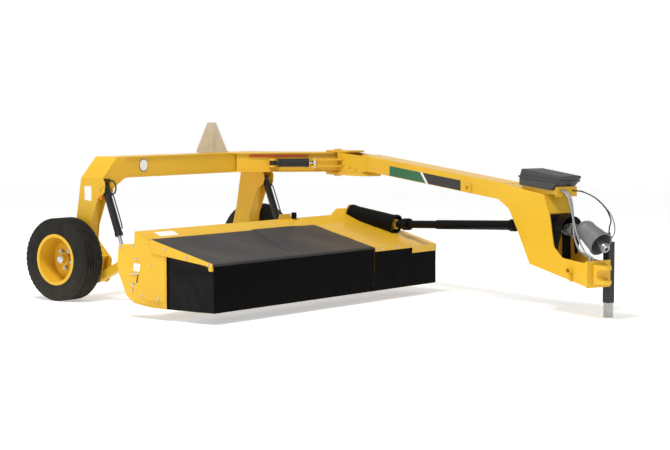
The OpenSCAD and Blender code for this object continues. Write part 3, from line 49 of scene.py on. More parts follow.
# The part's own sizes in millimetres, in the yard frame that its source uses
PIVOT = (3550.0, 1390.0)
HEADING = math.radians(-18.0)
WHEEL_Y, TYRE_R = 2408.0, 387.5
RIGHT_WHEEL_X, LEFT_WHEEL_X = 648.0, 3482.0
DECK_L, FRONT_Z, RIDGE_Y, RIDGE_Z = 3300.0, 505.0, 740.0, 685.0
BACK_Y, BACK_Z, HEM_Z = 890.0, 751.0, 99.0
END_FRONT_Y = 526.0
GUARD_X0, GUARD_X1 = 12.0, 2284.0
HITCH_S, HITCH_ROUND = 3990.0, 48.0
JACK_X, JACK_S, JACK_TOP = 174.0, 3840.0, 656.0
ORIGIN_X = (PIVOT[0] + 127.0) / 2
NOSE_Y = PIVOT[1] - HITCH_S * math.cos(HEADING) - HITCH_ROUND
ORIGIN_Y = (WHEEL_Y + TYRE_R + NOSE_Y) / 2


def yard(x, y, z):
    """A yard point in millimetres as a row point in metres."""
    return Vector(((x - ORIGIN_X) / 1000, (y - ORIGIN_Y) / 1000, z / 1000))


def on_tongue(x, s, z):
    """A point of the tongue, x to its left and s ahead of its pivot, as a row point in metres."""
    c, d = math.cos(HEADING), math.sin(HEADING)
    return yard(PIVOT[0] + x * c + s * d, PIVOT[1] + x * d - s * c, z)


def roof_z(y):
    return FRONT_Z + (RIDGE_Z - FRONT_Z) * y / RIDGE_Y


# Camera at the photograph's place
VIEW_YAW, VIEW_PITCH = 0.921481, 0.069535
FOCAL_PX, IMAGE_W, SENSOR_W = 1842.85, 670.0, 36.0
CAMERA_AT = (-11520.1, -10014.4, 1903.9)
cam_data = bpy.data.cameras.new("camera")
cam_data.sensor_width = SENSOR_W
cam_data.lens = FOCAL_PX / IMAGE_W * SENSOR_W
cam_data.clip_end = 200.0
camera = bpy.data.objects.new("camera", cam_data)
bpy.context.collection.objects.link(camera)
camera.location = yard(*CAMERA_AT)
look = Vector((math.sin(VIEW_YAW) * math.cos(VIEW_PITCH), math.cos(VIEW_YAW) * math.cos(VIEW_PITCH),
               -math.sin(VIEW_PITCH)))
camera.rotation_euler = look.to_track_quat("-Z", "Y").to_euler()
bpy.context.scene.camera = camera
bpy.context.scene.view_settings.view_transform = "Standard"


# Materials, all procedural
def material(name, color, rough=0.5, metal=0.0, vary=0.12, scale=3.0, bump=0.0, bump_scale=60.0,
             coat=0.0, edge=0.0, dust=0.0, dust_color=(0.33, 0.27, 0.18), dust_top=0.5, sheen=0.0,
             spec=0.5):
    """A surface whose colour and roughness wander with noise, with low dust and rounded edges if asked."""
    m = bpy.data.materials.new(name)
    m.use_nodes = True
    t = m.node_tree
    t.nodes.clear()
    out = t.nodes.new("ShaderNodeOutputMaterial")
    bsdf = t.nodes.new("ShaderNodeBsdfPrincipled")
    t.links.new(bsdf.outputs[0], out.inputs[0])
    bsdf.inputs["Metallic"].default_value = metal
    bsdf.inputs["Coat Weight"].default_value = coat
    bsdf.inputs["Coat Roughness"].default_value = 0.12
    bsdf.inputs["Sheen Weight"].default_value = sheen
    bsdf.inputs["Specular IOR Level"].default_value = spec
    coords = t.nodes.new("ShaderNodeTexCoord")
    noise = t.nodes.new("ShaderNodeTexNoise")
    noise.inputs["Scale"].default_value = scale
    noise.inputs["Detail"].default_value = 6.0
    noise.inputs["Roughness"].default_value = 0.6
    t.links.new(coords.outputs["Object"], noise.inputs["Vector"])
    ramp = t.nodes.new("ShaderNodeValToRGB")
    low = [max(0.0, c * (1 - vary)) for c in color]
    high = [min(1.0, c * (1 + vary)) for c in color]
    ramp.color_ramp.elements[0].position = 0.32
    ramp.color_ramp.elements[0].color = (*low, 1)
    ramp.color_ramp.elements[1].position = 0.68
    ramp.color_ramp.elements[1].color = (*high, 1)
    t.links.new(noise.outputs["Fac"], ramp.inputs["Fac"])
    tint = ramp.outputs["Color"]
    rough_range = t.nodes.new("ShaderNodeMapRange")
    rough_range.inputs["To Min"].default_value = max(0.05, rough - 0.08)
    rough_range.inputs["To Max"].default_value = min(1.0, rough + 0.08)
    t.links.new(noise.outputs["Fac"], rough_range.inputs["Value"])
    rough_out = rough_range.outputs[0]
    if dust > 0:
        split = t.nodes.new("ShaderNodeSeparateXYZ")
        t.links.new(coords.outputs["Object"], split.inputs[0])
        fall = t.nodes.new("ShaderNodeMapRange")
        fall.inputs["From Min"].default_value = 0.0
        fall.inputs["From Max"].default_value = dust_top
        fall.inputs["To Min"].default_value = dust
        fall.inputs["To Max"].default_value = 0.0
        t.links.new(split.outputs["Z"], fall.inputs["Value"])
        patch = t.nodes.new("ShaderNodeTexNoise")
        patch.inputs["Scale"].default_value = scale * 4
        patch.inputs["Detail"].default_value = 5.0
        t.links.new(coords.outputs["Object"], patch.inputs["Vector"])
        amount = t.nodes.new("ShaderNodeMath")
        amount.operation = "MULTIPLY"
        t.links.new(fall.outputs[0], amount.inputs[0])
        t.links.new(patch.outputs["Fac"], amount.inputs[1])
        mix = t.nodes.new("ShaderNodeMix")
        mix.data_type = "RGBA"
        t.links.new(amount.outputs[0], mix.inputs["Factor"])
        t.links.new(tint, mix.inputs[6])
        mix.inputs[7].default_value = (*dust_color, 1)
        tint = mix.outputs[2]
    t.links.new(tint, bsdf.inputs["Base Color"])
    t.links.new(rough_out, bsdf.inputs["Roughness"])
    normal = None
    if edge > 0:
        bevel = t.nodes.new("ShaderNodeBevel")
        bevel.samples = 4
        bevel.inputs["Radius"].default_value = edge
        normal = bevel.outputs[0]
    if bump > 0:
        grain = t.nodes.new("ShaderNodeTexNoise")
        grain.inputs["Scale"].default_value = bump_scale
        grain.inputs["Detail"].default_value = 4.0
        t.links.new(coords.outputs["Object"], grain.inputs["Vector"])
        relief = t.nodes.new("ShaderNodeBump")
        relief.inputs["Strength"].default_value = bump
        relief.inputs["Distance"].default_value = 0.01
        t.links.new(grain.outputs["Fac"], relief.inputs["Height"])
        if normal:
            t.links.new(normal, relief.inputs["Normal"])
        normal = relief.outputs[0]
    if normal:
        t.links.new(normal, bsdf.inputs["Normal"])
    return m


YELLOW = material("yellow_paint", (0.69, 0.41, 0.024), rough=0.34, vary=0.05, scale=1.6, bump=0.03,
                  bump_scale=140, coat=0.06, edge=0.004, dust=0.16, dust_top=0.40, spec=0.26)
TYRE = material("tyre_rubber", (0.021, 0.020, 0.0185), rough=0.75, vary=0.25, scale=9, bump=0.12,
                bump_scale=90, dust=0.10, dust_top=0.4, spec=0.08)
# The curtain cloth is the tarp's black cloth made far darker: its near-black colour is painted shade of the
# curtains hanging under the guard and the deck.
SHADE_DARKENED_CLOTH = material("black_cloth", (0.0018, 0.0017, 0.0019), rough=0.60, vary=0.3, scale=4, bump=0.10,
                 bump_scale=220, dust=0.006, dust_top=0.30, spec=0.03)
SIDE_CLOTH = material("side_cloth", (0.0025, 0.0023, 0.0026), rough=0.32, vary=0.3, scale=4, bump=0.08,
                      bump_scale=200, spec=0.11)
TARP = material("black_tarp", (0.016, 0.0155, 0.0165), rough=0.40, vary=0.25, scale=3, bump=0.10,
                bump_scale=240, spec=0.42)
PLASTIC = material("black_plastic", (0.0035, 0.0035, 0.004), rough=0.42, vary=0.18, scale=5, bump=0.06,
                   bump_scale=260, edge=0.004, spec=0.08)
BOX_PLASTIC = material("box_plastic", (0.040, 0.040, 0.042), rough=0.52, vary=0.15, scale=6, bump=0.08,
                       bump_scale=260, edge=0.004)
GREY_PLASTIC = material("grey_plastic", (0.14, 0.14, 0.144), rough=0.5, vary=0.15, scale=6, bump=0.05,
                        bump_scale=220, edge=0.003)
CHROME = material("chrome_rod", (0.72, 0.73, 0.75), rough=0.14, metal=1.0, vary=0.05, scale=14)
STEEL = material("bare_steel", (0.36, 0.36, 0.37), rough=0.42, metal=0.85, vary=0.18, scale=12, bump=0.05,
                 bump_scale=120, edge=0.002)
ZINC = material("zinc_bolt", (0.55, 0.56, 0.58), rough=0.32, metal=0.9, vary=0.12, scale=30)
BLACK = material("black_paint", (0.010, 0.010, 0.011), rough=0.34, vary=0.2, scale=5, edge=0.003, spec=0.4)
HOSE = material("braided_hose", (0.30, 0.31, 0.32), rough=0.42, metal=0.4, vary=0.25, scale=80)
CABLE = material("cable", (0.018, 0.018, 0.018), rough=0.55, vary=0.2, scale=40)
RED = material("red_hose", (0.42, 0.035, 0.012), rough=0.45, vary=0.15, scale=20)
SIGN = material("sign_back", (0.60, 0.54, 0.42), rough=0.5, vary=0.08, scale=6, edge=0.002)
GALV = material("galvanised", (0.42, 0.44, 0.44), rough=0.45, metal=0.5, vary=0.15, scale=20, edge=0.002)

SLOT_LOOK = {"yellow_paint": YELLOW, "tyre": TYRE, "black_cloth": SHADE_DARKENED_CLOTH, "black_plastic": PLASTIC,
             "chrome_rod": CHROME,
             "bare_steel": STEEL, "black_paint": BLACK, "hose_rubber": HOSE, "red_hose": RED,
             "sign_plate": SIGN}
SLOT_OF = {row["node"]: row["material_slot"] for row in frame["record"]["subparts"]}
for node, obj in NODES.items():
    obj.data.materials.clear()
    obj.data.materials.append(SLOT_LOOK[SLOT_OF[node]])
for node, look_of in (("jack_leg", GALV), ("bell_guard", GREY_PLASTIC), ("light_cable", CABLE),
                      ("toolbox", BOX_PLASTIC),
                      ("toolbox_lid", BOX_PLASTIC)):
    NODES[node].data.materials[0] = look_of


def finish_piece(obj, body, look_of):
    obj.data.materials.clear()
    obj.data.materials.append(look_of)
    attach(obj, body)
    return obj


# Hoses and cables, along the routes of the source
def spline(points, n):
    out = []
    for i in range(len(points) - 1):
        a, b = points[max(i - 1, 0)], points[i]
        c, d = points[i + 1], points[min(i + 2, len(points) - 1)]
        for k in range(n):
            t = k / n
            out.append(0.5 * (2 * b + (c - a) * t + (2 * a - 5 * b + 4 * c - d) * t * t
                              + (3 * b - a - 3 * c + d) * t ** 3))
    return out + [points[-1]]


def tube(name, points, radius, body, look_of):
    data = bpy.data.curves.new(name, "CURVE")
    data.dimensions = "3D"
    data.bevel_depth = radius
    data.bevel_resolution = 4
    data.use_fill_caps = True
    line = data.splines.new("POLY")
    line.points.add(len(points) - 1)
    for p, q in zip(line.points, points):
        p.co = (*q, 1)
    obj = bpy.data.objects.new(name, data)
    bpy.context.collection.objects.link(obj)
    return finish_piece(obj, body, look_of)


LIP_S, LIP_Z = 3478.0, 1085.0
GOOSE_S, PLATE_TOP = 3890.0, 507.0


def lip_run(x):
    return [(x, LIP_S - 22, LIP_Z), (x, LIP_S + 20, LIP_Z), (x, LIP_S + 46, LIP_Z)]


def plate_run(x, high):
    return [(x, GOOSE_S + 6, PLATE_TOP + up) for up in (high, high / 2, 0.3)]


ROUTES = {
    "hose_1": (9.0, HOSE, lip_run(-70) + [(-76, 3590, 1040), (-90, 3650, 930), (-106, 3710, 800),
                                          (-114, 3775, 680),
                                          (-112, 3840, 590)] + plate_run(-102, 44)),
    "hose_2": (9.0, HOSE, lip_run(-44) + [(-46, 3585, 1040), (-54, 3626, 930), (-64, 3650, 800),
                                          (-74, 3676, 690),
                                          (-80, 3746, 590), (-76, 3836, 548)] + plate_run(-70, 28)),
    "nose_wire": (4.0, CABLE, lip_run(88) + [(100, 3600, 1078), (138, 3745, 1010), (176, 3858, 890),
                                             (196, 3886, 790),
                                             (208, 3868, 724), (JACK_X + 26, JACK_S, JACK_TOP + 26)]),
    "light_cable": (6.0, CABLE, lip_run(70) + [(80, 3600, 1080), (110, 3720, 1036), (145, 3820, 950),
                                               (168, 3866, 850),
                                               (JACK_X, JACK_S + 6, 786),
                                               (JACK_X, JACK_S, JACK_TOP + 78.6)]),
}
for name, (radius, look_of, route) in ROUTES.items():
    points = spline([on_tongue(*p) for p in route], 8)
    piece = tube(name + "_run", points, radius / 1000, "tongue", look_of)
    if name in NODES:
        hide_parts(name)


# Cloth: a woven sheet is a grid of points over its own width and length
ARM_HINGE, ARM_FRONT = (724.0, 671.0), (25.3, 471.0)
ARM_X = [30.0 + i * (GUARD_X1 - GUARD_X0 - 36) / 3 for i in range(4)]
TARP_REAR, TARP_FRONT, TARP_DROP_Z = (714.0, 690.0), (24.0, 512.0), 452.0
ROLL_R = 25.0


def sheet_piece(name, across, down, point, body, look_of=SHADE_DARKENED_CLOTH):
    """A cloth grid whose point(u, v) gives yard millimetres for u and v from 0 to 1."""
    verts = [yard(*point(i / across, j / down)) for j in range(down + 1) for i in range(across + 1)]
    row = across + 1
    faces = [(j * row + i, j * row + i + 1, (j + 1) * row + i + 1, (j + 1) * row + i)
             for j in range(down) for i in range(across)]
    mesh = bpy.data.meshes.new(name)
    mesh.from_pydata(verts, [], faces)
    mesh.polygons.foreach_set("use_smooth", [True] * len(faces))
    obj = bpy.data.objects.new(name, mesh)
    bpy.context.collection.objects.link(obj)
    finish_piece(obj, body, look_of)
    return obj


def ripple(a, b, seed):
    """Small slow waves in -1 to 1 from a few sines that each seed shifts."""
    return (math.sin(a * 1.7 + seed) * math.cos(b * 2.3 + seed * 1.7)
            + 0.5 * math.sin(a * 4.1 - b * 3.3 + seed * 0.6)
            + 0.25 * math.sin(a * 9.2 + b * 7.1 + seed * 2.2)) / 1.75


TARP_RUN = math.dist(TARP_REAR, TARP_FRONT)
TARP_LEAN = math.atan2(TARP_REAR[1] - TARP_FRONT[1], TARP_REAR[0] - TARP_FRONT[0])
ROLL_TURN = math.pi / 2 - TARP_LEAN
ROLL_RUN = ROLL_R * ROLL_TURN
ROLL_MID = (TARP_FRONT[0] + ROLL_R * math.sin(TARP_LEAN), TARP_FRONT[1] - ROLL_R * math.cos(TARP_LEAN))
ROLL_EDGE_Y = ROLL_MID[0] - ROLL_R
DROP_RUN = ROLL_MID[1] - TARP_DROP_Z
TARP_L = TARP_RUN + ROLL_RUN + DROP_RUN


# The lapped fold is a raised wedge that opens from one point of the front edge
FOLD_AT, FOLD_STEEP, FOLD_FLAT, FOLD_RISE = (1144.0, 98.0), 0.36, 1.40, 7.0


def fold_edge(y, slope):
    return FOLD_AT[0] + slope * (y - FOLD_AT[1])


def step(distance, width):
    return 1.0 / (1.0 + math.exp(max(-40.0, min(40.0, -distance / width))))


def tarp_point(u, v):
    x = GUARD_X0 + (GUARD_X1 - GUARD_X0) * u
    d = TARP_L * v
    if d <= TARP_RUN:
        k = d / TARP_RUN
        y = TARP_REAR[0] + (TARP_FRONT[0] - TARP_REAR[0]) * k
        z = TARP_REAR[1] + (TARP_FRONT[1] - TARP_REAR[1]) * k
        # Slack between the arms, a lapped fold over the middle, and small waves
        bay = min(abs(x - a) for a in ARM_X) / 372.0
        z -= 9.0 * math.sin(math.pi * k) * math.sin(math.pi / 2 * bay) ** 2
        rise = FOLD_RISE * min(1.0, 4.0 * (1 - k))
        z += rise * step(x - fold_edge(y, FOLD_STEEP), 8.0) * step(fold_edge(y, FOLD_FLAT) - x, 30.0)
        z += 2.2 * math.sin(math.pi * k) * ripple(x / 210.0, y / 170.0, 1.3)
    elif d <= TARP_RUN + ROLL_RUN:
        a = math.pi / 2 + TARP_LEAN + (d - TARP_RUN) / ROLL_R
        y = ROLL_MID[0] + ROLL_R * math.cos(a)
        z = ROLL_MID[1] + ROLL_R * math.sin(a)
    else:
        y = ROLL_EDGE_Y - 0.5 * abs(ripple(x / 160.0, 0.0, 4.0))
        z = ROLL_MID[1] - (d - TARP_RUN - ROLL_RUN)
    return x, y, z


CURTAIN_TOP, CURTAIN_HEM, CURTAIN_GAP = 492.0, HEM_Z + 1.0, 2.5


def front_point(u, v):
    x = 8.0 + (GUARD_X1 - 8.0) * u
    z = CURTAIN_TOP + (CURTAIN_HEM - CURTAIN_TOP) * v
    hem = 1.5 if v > 0.91 else 0.0
    y = 4.0 + 3.0 * v * ripple(x / 120.0, v * 1.4, 0.4) - hem * 0.5
    return x, y, z


def arm_low(y):
    k = (y - ARM_FRONT[0]) / (ARM_HINGE[0] - ARM_FRONT[0])
    return ARM_FRONT[1] + (ARM_HINGE[1] - ARM_FRONT[1]) * k - 10.0


SIDE_BACK = END_FRONT_Y + 15.0


def side_point(u, v):
    y = 6.0 + (SIDE_BACK - 6.0) * u
    top = arm_low(y)
    z = top + (CURTAIN_HEM - top) * v
    # Folds fan out from the upper front corner
    fan = math.atan2(top - z, y + 60.0)
    depth = min(1.0, 2.2 * v) * min(1.0, 3.0 * u + 0.15) * min(1.0, 4.0 * (1 - u))
    x = 16.0 + 6.5 * depth * math.sin(fan * 11.0) + 2.5 * depth * ripple(y / 90.0, z / 120.0, 2.2)
    return x, y, z


def left_front_point(u, v):
    x0, x1 = GUARD_X1 + CURTAIN_GAP, DECK_L - 4.0
    x = x0 + (x1 - x0) * u
    z = 470.0 + (CURTAIN_HEM - 470.0) * v
    return x, 4.0 + 3.0 * v * ripple(x / 110.0, v, 5.1), z


def left_side_point(u, v):
    y = 8.0 + (END_FRONT_Y - 8.0) * u
    top = 462.0 + (roof_z(END_FRONT_Y) - 44.0 - 462.0) * u
    z = top + (CURTAIN_HEM - top) * v
    return DECK_L - 14.0 + 3.0 * v * ripple(y / 100.0, v, 3.3), y, z


tarp = sheet_piece("guard_tarp_cloth", 240, 60, tarp_point, "guard",
                   look_of=TARP)
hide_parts("guard_tarp")
front_curtain = sheet_piece("guard_front_curtain", 140, 24, front_point, "guard")
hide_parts("guard_curtain")
sheet_piece("guard_side_curtain", 60, 48, side_point, "guard",
            look_of=SIDE_CLOTH)
left_curtain = sheet_piece("deck_front_curtain", 70, 24, left_front_point, "deck")
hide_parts("deck_curtain")
sheet_piece("deck_side_curtain", 40, 30, left_side_point, "deck")


# Fasteners: hex heads on washers, one mesh for each group on one body
def bolt_group(name, body, look_of, spots):
    """spots are (row point, outward axis, head radius in millimetres)."""
    bm = bmesh.new()
    for place, axis, r in spots:
        turn = Vector(axis).normalized().to_track_quat("Z", "Y").to_matrix().to_4x4()
        spin = Matrix.Rotation(RNG.random() * math.pi / 3, 4, "Z")
        for radius, sides, low, high in ((r * 1.35, 20, -0.2, 0.22), (r, 6, 0.22, 0.85),
                                         (r * 0.82, 6, 0.85, 0.98)):
            h = (high - low) * r / 1000
            at = Matrix.Translation(Vector((0, 0, (low + high) / 2 * r / 1000)))
            bmesh.ops.create_cone(bm, cap_ends=True, segments=sides, radius1=radius / 1000,
                                  radius2=radius / 1000 * (0.9 if high > 0.9 else 1.0), depth=h,
                                  matrix=Matrix.Translation(place) @ turn @ spin @ at)
    mesh = bpy.data.meshes.new(name)
    bm.to_mesh(mesh)
    bm.free()
    obj = bpy.data.objects.new(name, mesh)
    bpy.context.collection.objects.link(obj)
    return finish_piece(obj, body, look_of)


def panel(name, body, corners, lift, look_of):
    """A thin closed panel over corner points, lifted along their normal by lift metres."""
    n = (corners[1] - corners[0]).cross(corners[2] - corners[0]).normalized()
    count = len(corners)
    verts = [c + n * lift for c in corners] + [c - n * 0.0005 for c in corners]
    faces = [tuple(range(count)), tuple(reversed(range(count, 2 * count)))]
    faces += [(i + count, (i + 1) % count + count, (i + 1) % count, i) for i in range(count)]
    mesh = bpy.data.meshes.new(name)
    mesh.from_pydata(verts, [], faces)
    obj = bpy.data.objects.new(name, mesh)
    bpy.context.collection.objects.link(obj)
    return finish_piece(obj, body, look_of)


END_BOLTS = [(1056, 612, 9), (909, 626, 9), (872, 514, 9), (701, 463, 8), (915, 291, 13), (919, 243, 9),
             (811, 202, 10), (611, 188, 10)]
bolt_group("end_plate_bolts", "deck", ZINC,
           [(yard(0, y, z), (-1, 0, 0), r) for y, z, r in END_BOLTS])
bolt_group("guard_arm_bolts", "guard", ZINC,
           [(yard(-12, y, z), (-1, 0, 0), 9) for y, z in ((530, 615), (286, 557), (45, 505))])
FLANGE_BOLTS = [(2307, 487), (2403, 487), (2645, 486), (2872, 487), (2963, 458), (3272, 440)]
bolt_group("flange_bolts", "deck", ZINC,
           [(yard(x, -4, z), (0, -1, 0), 8) for x, z in FLANGE_BOLTS])
HEAD_X = -110.0
LATERAL = Vector((math.cos(HEADING), math.sin(HEADING), 0))
FORWARD = Vector((math.sin(HEADING), -math.cos(HEADING), 0))
bolt_group("head_bolts", "tongue", YELLOW,
           [(on_tongue(HEAD_X, s, z), -LATERAL, 11)
            for s, z in ((265, 1217), (370, 1200), (474, 1178), (594, 1158))])
bolt_group("clevis_bolts", "tongue", ZINC,
           [(on_tongue(x, GOOSE_S + 32.2, z), FORWARD, 9) for x in (-57, 57) for z in (322, 454)])
NUT_CIRCLE, NUT_FACE, HUB_FACE = 86.0, 10.0, -52.0
for body, x, out in (("right_wheel", RIGHT_WHEEL_X, -1), ("left_wheel", LEFT_WHEEL_X, 1)):
    nuts = []
    for i in range(5):
        a = i * math.tau / 5
        nuts.append((yard(x - out * NUT_FACE, WHEEL_Y + NUT_CIRCLE * math.sin(a),
                          TYRE_R - NUT_CIRCLE * math.cos(a)), (out, 0, 0), 15))
    bolt_group(body + "_nuts", body, ZINC, nuts)

GREEN = material("green_panel", (0.004, 0.115, 0.045), rough=0.3, vary=0.06, scale=5)
WHITE = material("white_panel", (0.78, 0.78, 0.76), rough=0.35, vary=0.04, scale=8)
DARK = material("dark_panel", (0.012, 0.012, 0.013), rough=0.3, vary=0.2, scale=6)
ORANGE = material("orange_sheet", (0.80, 0.13, 0.015), rough=0.5, vary=0.08, scale=8)
RED_SHEET = material("red_reflector", (0.42, 0.01, 0.012), rough=0.25, vary=0.15, scale=60)
SIDE_X, TONGUE_TOP, TONGUE_SLOPE = -110.0, 1376.0, 0.09


def tongue_band(s, below):
    return on_tongue(SIDE_X, s, TONGUE_TOP - TONGUE_SLOPE * s - below)


BAND_TOP, BAND_LOW = 53.0, 148.0
for name, look_of, (a, b, c, d) in (("panel_green", GREEN, (1042, 1530, 1620, 1042)),
                                    ("panel_white", WHITE, (1530, 1569, 1658, 1620)),
                                    ("panel_dark", DARK, (1569, 2149, 2149, 1658))):
    panel(name, "tongue", [tongue_band(a, BAND_TOP), tongue_band(d, BAND_LOW), tongue_band(c, BAND_LOW),
                           tongue_band(b, BAND_TOP)],
          0.0008, look_of)


# Blank plates: a round disc on the beam, a label plate on the right leg, and the sign's face at the back
def mesh_piece(name, bm, body, look_of):
    mesh = bpy.data.meshes.new(name)
    bm.to_mesh(mesh)
    bm.free()
    obj = bpy.data.objects.new(name, mesh)
    bpy.context.collection.objects.link(obj)
    return finish_piece(obj, body, look_of)


def round_piece(name, body, place, axis, rings, look_of, sides=48):
    """Stacked cones along an axis; each ring is (start, end, first radius, second radius) in mm."""
    bm = bmesh.new()
    turn = Vector(axis).normalized().to_track_quat("Z", "Y").to_matrix().to_4x4()
    for start, end, r1, r2 in rings:
        at = Matrix.Translation(Vector((0, 0, (start + end) / 2000)))
        bmesh.ops.create_cone(bm, cap_ends=True, segments=sides, radius1=r1 / 1000, radius2=r2 / 1000,
                              depth=(end - start) / 1000, matrix=Matrix.Translation(place) @ turn @ at)
    return mesh_piece(name, bm, body, look_of)


BEAM_FRONT, BEAM_BACK, LEG_X = 2070.0, 2350.0, 820.0
DISC_AT = yard(1377, BEAM_FRONT, 1253)
round_piece("beam_disc_edge", "frame", DISC_AT, (0, -1, 0), [(-1, 2, 62, 62)], DARK)
round_piece("beam_disc", "frame", DISC_AT, (0, -1, 0), [(0, 3, 55, 55)], WHITE)
# The end plate's front panel, blank label, step, latch and slot, and a blank label on the roof's back strip
def end_spot(name, x, points, lift, look_of):
    """A thin panel outside the right end plate, from (y, z) corners."""
    panel(name, "deck", [yard(x, y, z) for y, z in reversed(points)], lift, look_of)


END_PANEL = ((760, 652), (560, 560), (540, 548), (540, 116), (882, 146), (821, 408))
end_spot("end_panel", 0, END_PANEL, 0.003, YELLOW)
end_spot("end_label", 0, ((898, 479), (826, 471), (838, 405), (909, 413)), 0.0012, WHITE)
end_spot("end_step", -3, ((816, 166), (612, 150), (612, 128), (816, 140)), 0.006, YELLOW)
end_spot("end_latch", 0, ((942, 386), (836, 396), (836, 388), (942, 376)), 0.008, ZINC)
end_spot("end_slot", 0, ((860, 378), (848, 376), (862, 308), (876, 310)), 0.0008, DARK)
STRIP_SLOPE = (BACK_Z - RIDGE_Z) / (BACK_Y - RIDGE_Y)
panel("roof_label", "deck", [yard(x, y, RIDGE_Z + STRIP_SLOPE * (y - RIDGE_Y))
                             for x, y in ((200, 775), (440, 775), (440, 850), (200, 850))],
      0.0012, WHITE)
LEG_PLATE = ((2215, 1068), (2302, 1068), (2302, 940), (2215, 925))
panel("leg_plate", "frame", [yard(LEG_X, y, z) for y, z in LEG_PLATE],
      0.002, WHITE)
SIGN_X, SIGN_LOW, SIGN_H, SIGN_W, SIGN_TOP = 2645.0, 1351.0, 292.0, 480.0, 130.0


def sign_outline(inset):
    y = BEAM_BACK - 36.0
    return [yard(SIGN_X + SIGN_W / 2 - 1.6 * inset, y, SIGN_LOW + inset),
            yard(SIGN_X - SIGN_W / 2 + 1.6 * inset, y, SIGN_LOW + inset),
            yard(SIGN_X - SIGN_TOP / 2 + 0.4 * inset, y, SIGN_LOW + SIGN_H - inset),
            yard(SIGN_X + SIGN_TOP / 2 - 0.4 * inset, y, SIGN_LOW + SIGN_H - inset)]


panel("sign_border", "frame", sign_outline(8.0), 0.0010, RED_SHEET)
panel("sign_face", "frame", sign_outline(46.0), 0.0018, ORANGE)
LOCK_TAG = ((2078, 990), (2104, 990), (2104, 946), (2078, 946))
panel("lock_tag", "frame", [yard(LEG_X, y, z) for y, z in LOCK_TAG], 0.003, ORANGE)

# Wheels: hub caps and shoulder blocks of the tread
LUGS, LUG_IN, LUG_OUT = 46, 84.0, 128.0
for body, x, out in (("right_wheel", RIGHT_WHEEL_X, -1), ("left_wheel", LEFT_WHEEL_X, 1)):
    round_piece(body + "_cap", body, yard(x - out * HUB_FACE, WHEEL_Y, TYRE_R), (out, 0, 0),
                [(-2, 6, 38, 38), (6, 14, 38, 26)], ZINC)
    bm = bmesh.new()
    for side in (-1, 1):
        for i in range(LUGS):
            a0 = (i + (0.5 if side > 0 else 0.0)) * math.tau / LUGS
            corners = []
            for axial, r_top in ((LUG_IN, 386.6), (LUG_OUT, 374.0)):
                for r, half in ((352.0, 0.046), (r_top, 0.040)):
                    for turn in (-half, half):
                        a = a0 + turn + 0.05 * side * (axial - LUG_IN) / (LUG_OUT - LUG_IN)
                        corners.append(bm.verts.new(yard(x + side * axial, WHEEL_Y + r * math.sin(a),
                                                         TYRE_R + r * math.cos(a))))
            for f in ((0, 1, 3, 2), (4, 6, 7, 5), (2, 3, 7, 6), (0, 2, 6, 4), (1, 5, 7, 3), (0, 4, 5, 1)):
                bm.faces.new([corners[k] for k in f])
    bmesh.ops.recalc_face_normals(bm, faces=bm.faces)
    mesh_piece(body + "_shoulders", bm, body, TYRE)

# Lift cylinders: a feed pipe down each barrel, and a preformed hose from the right one into the leg
for side, x in (("right", 880.0), ("left", 3230.0)):
    pipe = spline([yard(x, *p) for p in ((2004, 996), (1990, 984), (1966, 930), (1902, 764), (1880, 700),
                                         (1886, 682))], 6)
    tube(side + "_lift_pipe", pipe, 0.006, side + "_lift_barrel", BLACK)
loop = spline([yard(880, *p) for p in ((2004, 998), (1972, 1012), (1956, 1062), (1984, 1116), (2040, 1122),
                                       (2082, 1096))], 8)
tube("right_lift_hose", loop, 0.008, "right_lift_barrel", CABLE)

# Bellows boot on the drive line's rear end, tapering towards the hood's mouth
DRIVE_FRONT, DRIVE_BACK = on_tongue(0, 2900, 750), yard(3110, 330, 665)
DRIVE_DIR = (DRIVE_BACK - DRIVE_FRONT).normalized()
BOOT_START, BOOT_FOLDS, BOOT_FOLD, BOOT_WAVE = 112.0, 7, 13.0, 7.0
boot_rings = []
for i in range(BOOT_FOLDS):
    crest, valley = 50.0 - 2.0 * i, 50.0 - BOOT_WAVE - 2.0 * i
    ends = (valley, crest) if i % 2 == 0 else (crest, valley)
    boot_rings.append((i * BOOT_FOLD, (i + 1) * BOOT_FOLD, *ends))
round_piece("drive_boot", "drive_inner", DRIVE_BACK - DRIVE_DIR * BOOT_START / 1000, DRIVE_DIR, boot_rings,
            PLASTIC)

# Black panels inside the gooseneck's mouth, behind the arched guard: painted shade of the hollow
MOUTH_X = 125.0
MOUTH = ((3296, 850), (3400, 850), (3408, 760), (3408, 478), (3296, 470))
for side in (-1, 1):
    corners = [on_tongue(side * MOUTH_X, s, z) for s, z in MOUTH]
    if side > 0:
        corners.reverse()
    panel("mouth_painted_shade_" + ("left" if side > 0 else "right"), "tongue", corners, 0.0015, PLASTIC)

# Square-holed bracket on the tongue's right side, and the lug with its cap behind the roof's ridge
bm = bmesh.new()
for s0, s1, z0, z1 in ((2214, 2316, 1025, 1043), (2214, 2316, 1083, 1100), (2214, 2240, 1043, 1083),
                       (2290, 2316, 1043, 1083)):
    verts = [bm.verts.new(on_tongue(x, s, z)) for x in (-111.5, -124.0)
             for s, z in ((s0, z0), (s1, z0), (s1, z1), (s0, z1))]
    for f in ((0, 1, 2, 3), (7, 6, 5, 4), (0, 4, 5, 1), (1, 5, 6, 2), (2, 6, 7, 3), (3, 7, 4, 0)):
        bm.faces.new([verts[k] for k in f])
bmesh.ops.recalc_face_normals(bm, faces=bm.faces)
mesh_piece("tongue_bracket", bm, "tongue", YELLOW)
ROOF_LUG = ((1960, 744), (2150, 744), (2132, 796), (1978, 796))
panel("roof_lug", "deck", [yard(x, BACK_Y - 1, z) for x, z in ROOF_LUG], 0.008, YELLOW)
round_piece("roof_cap", "deck", yard(2180, BACK_Y - 14, 752), (0, 0, 1),
            [(-4, 46, 26, 26), (46, 54, 26, 18)], PLASTIC)


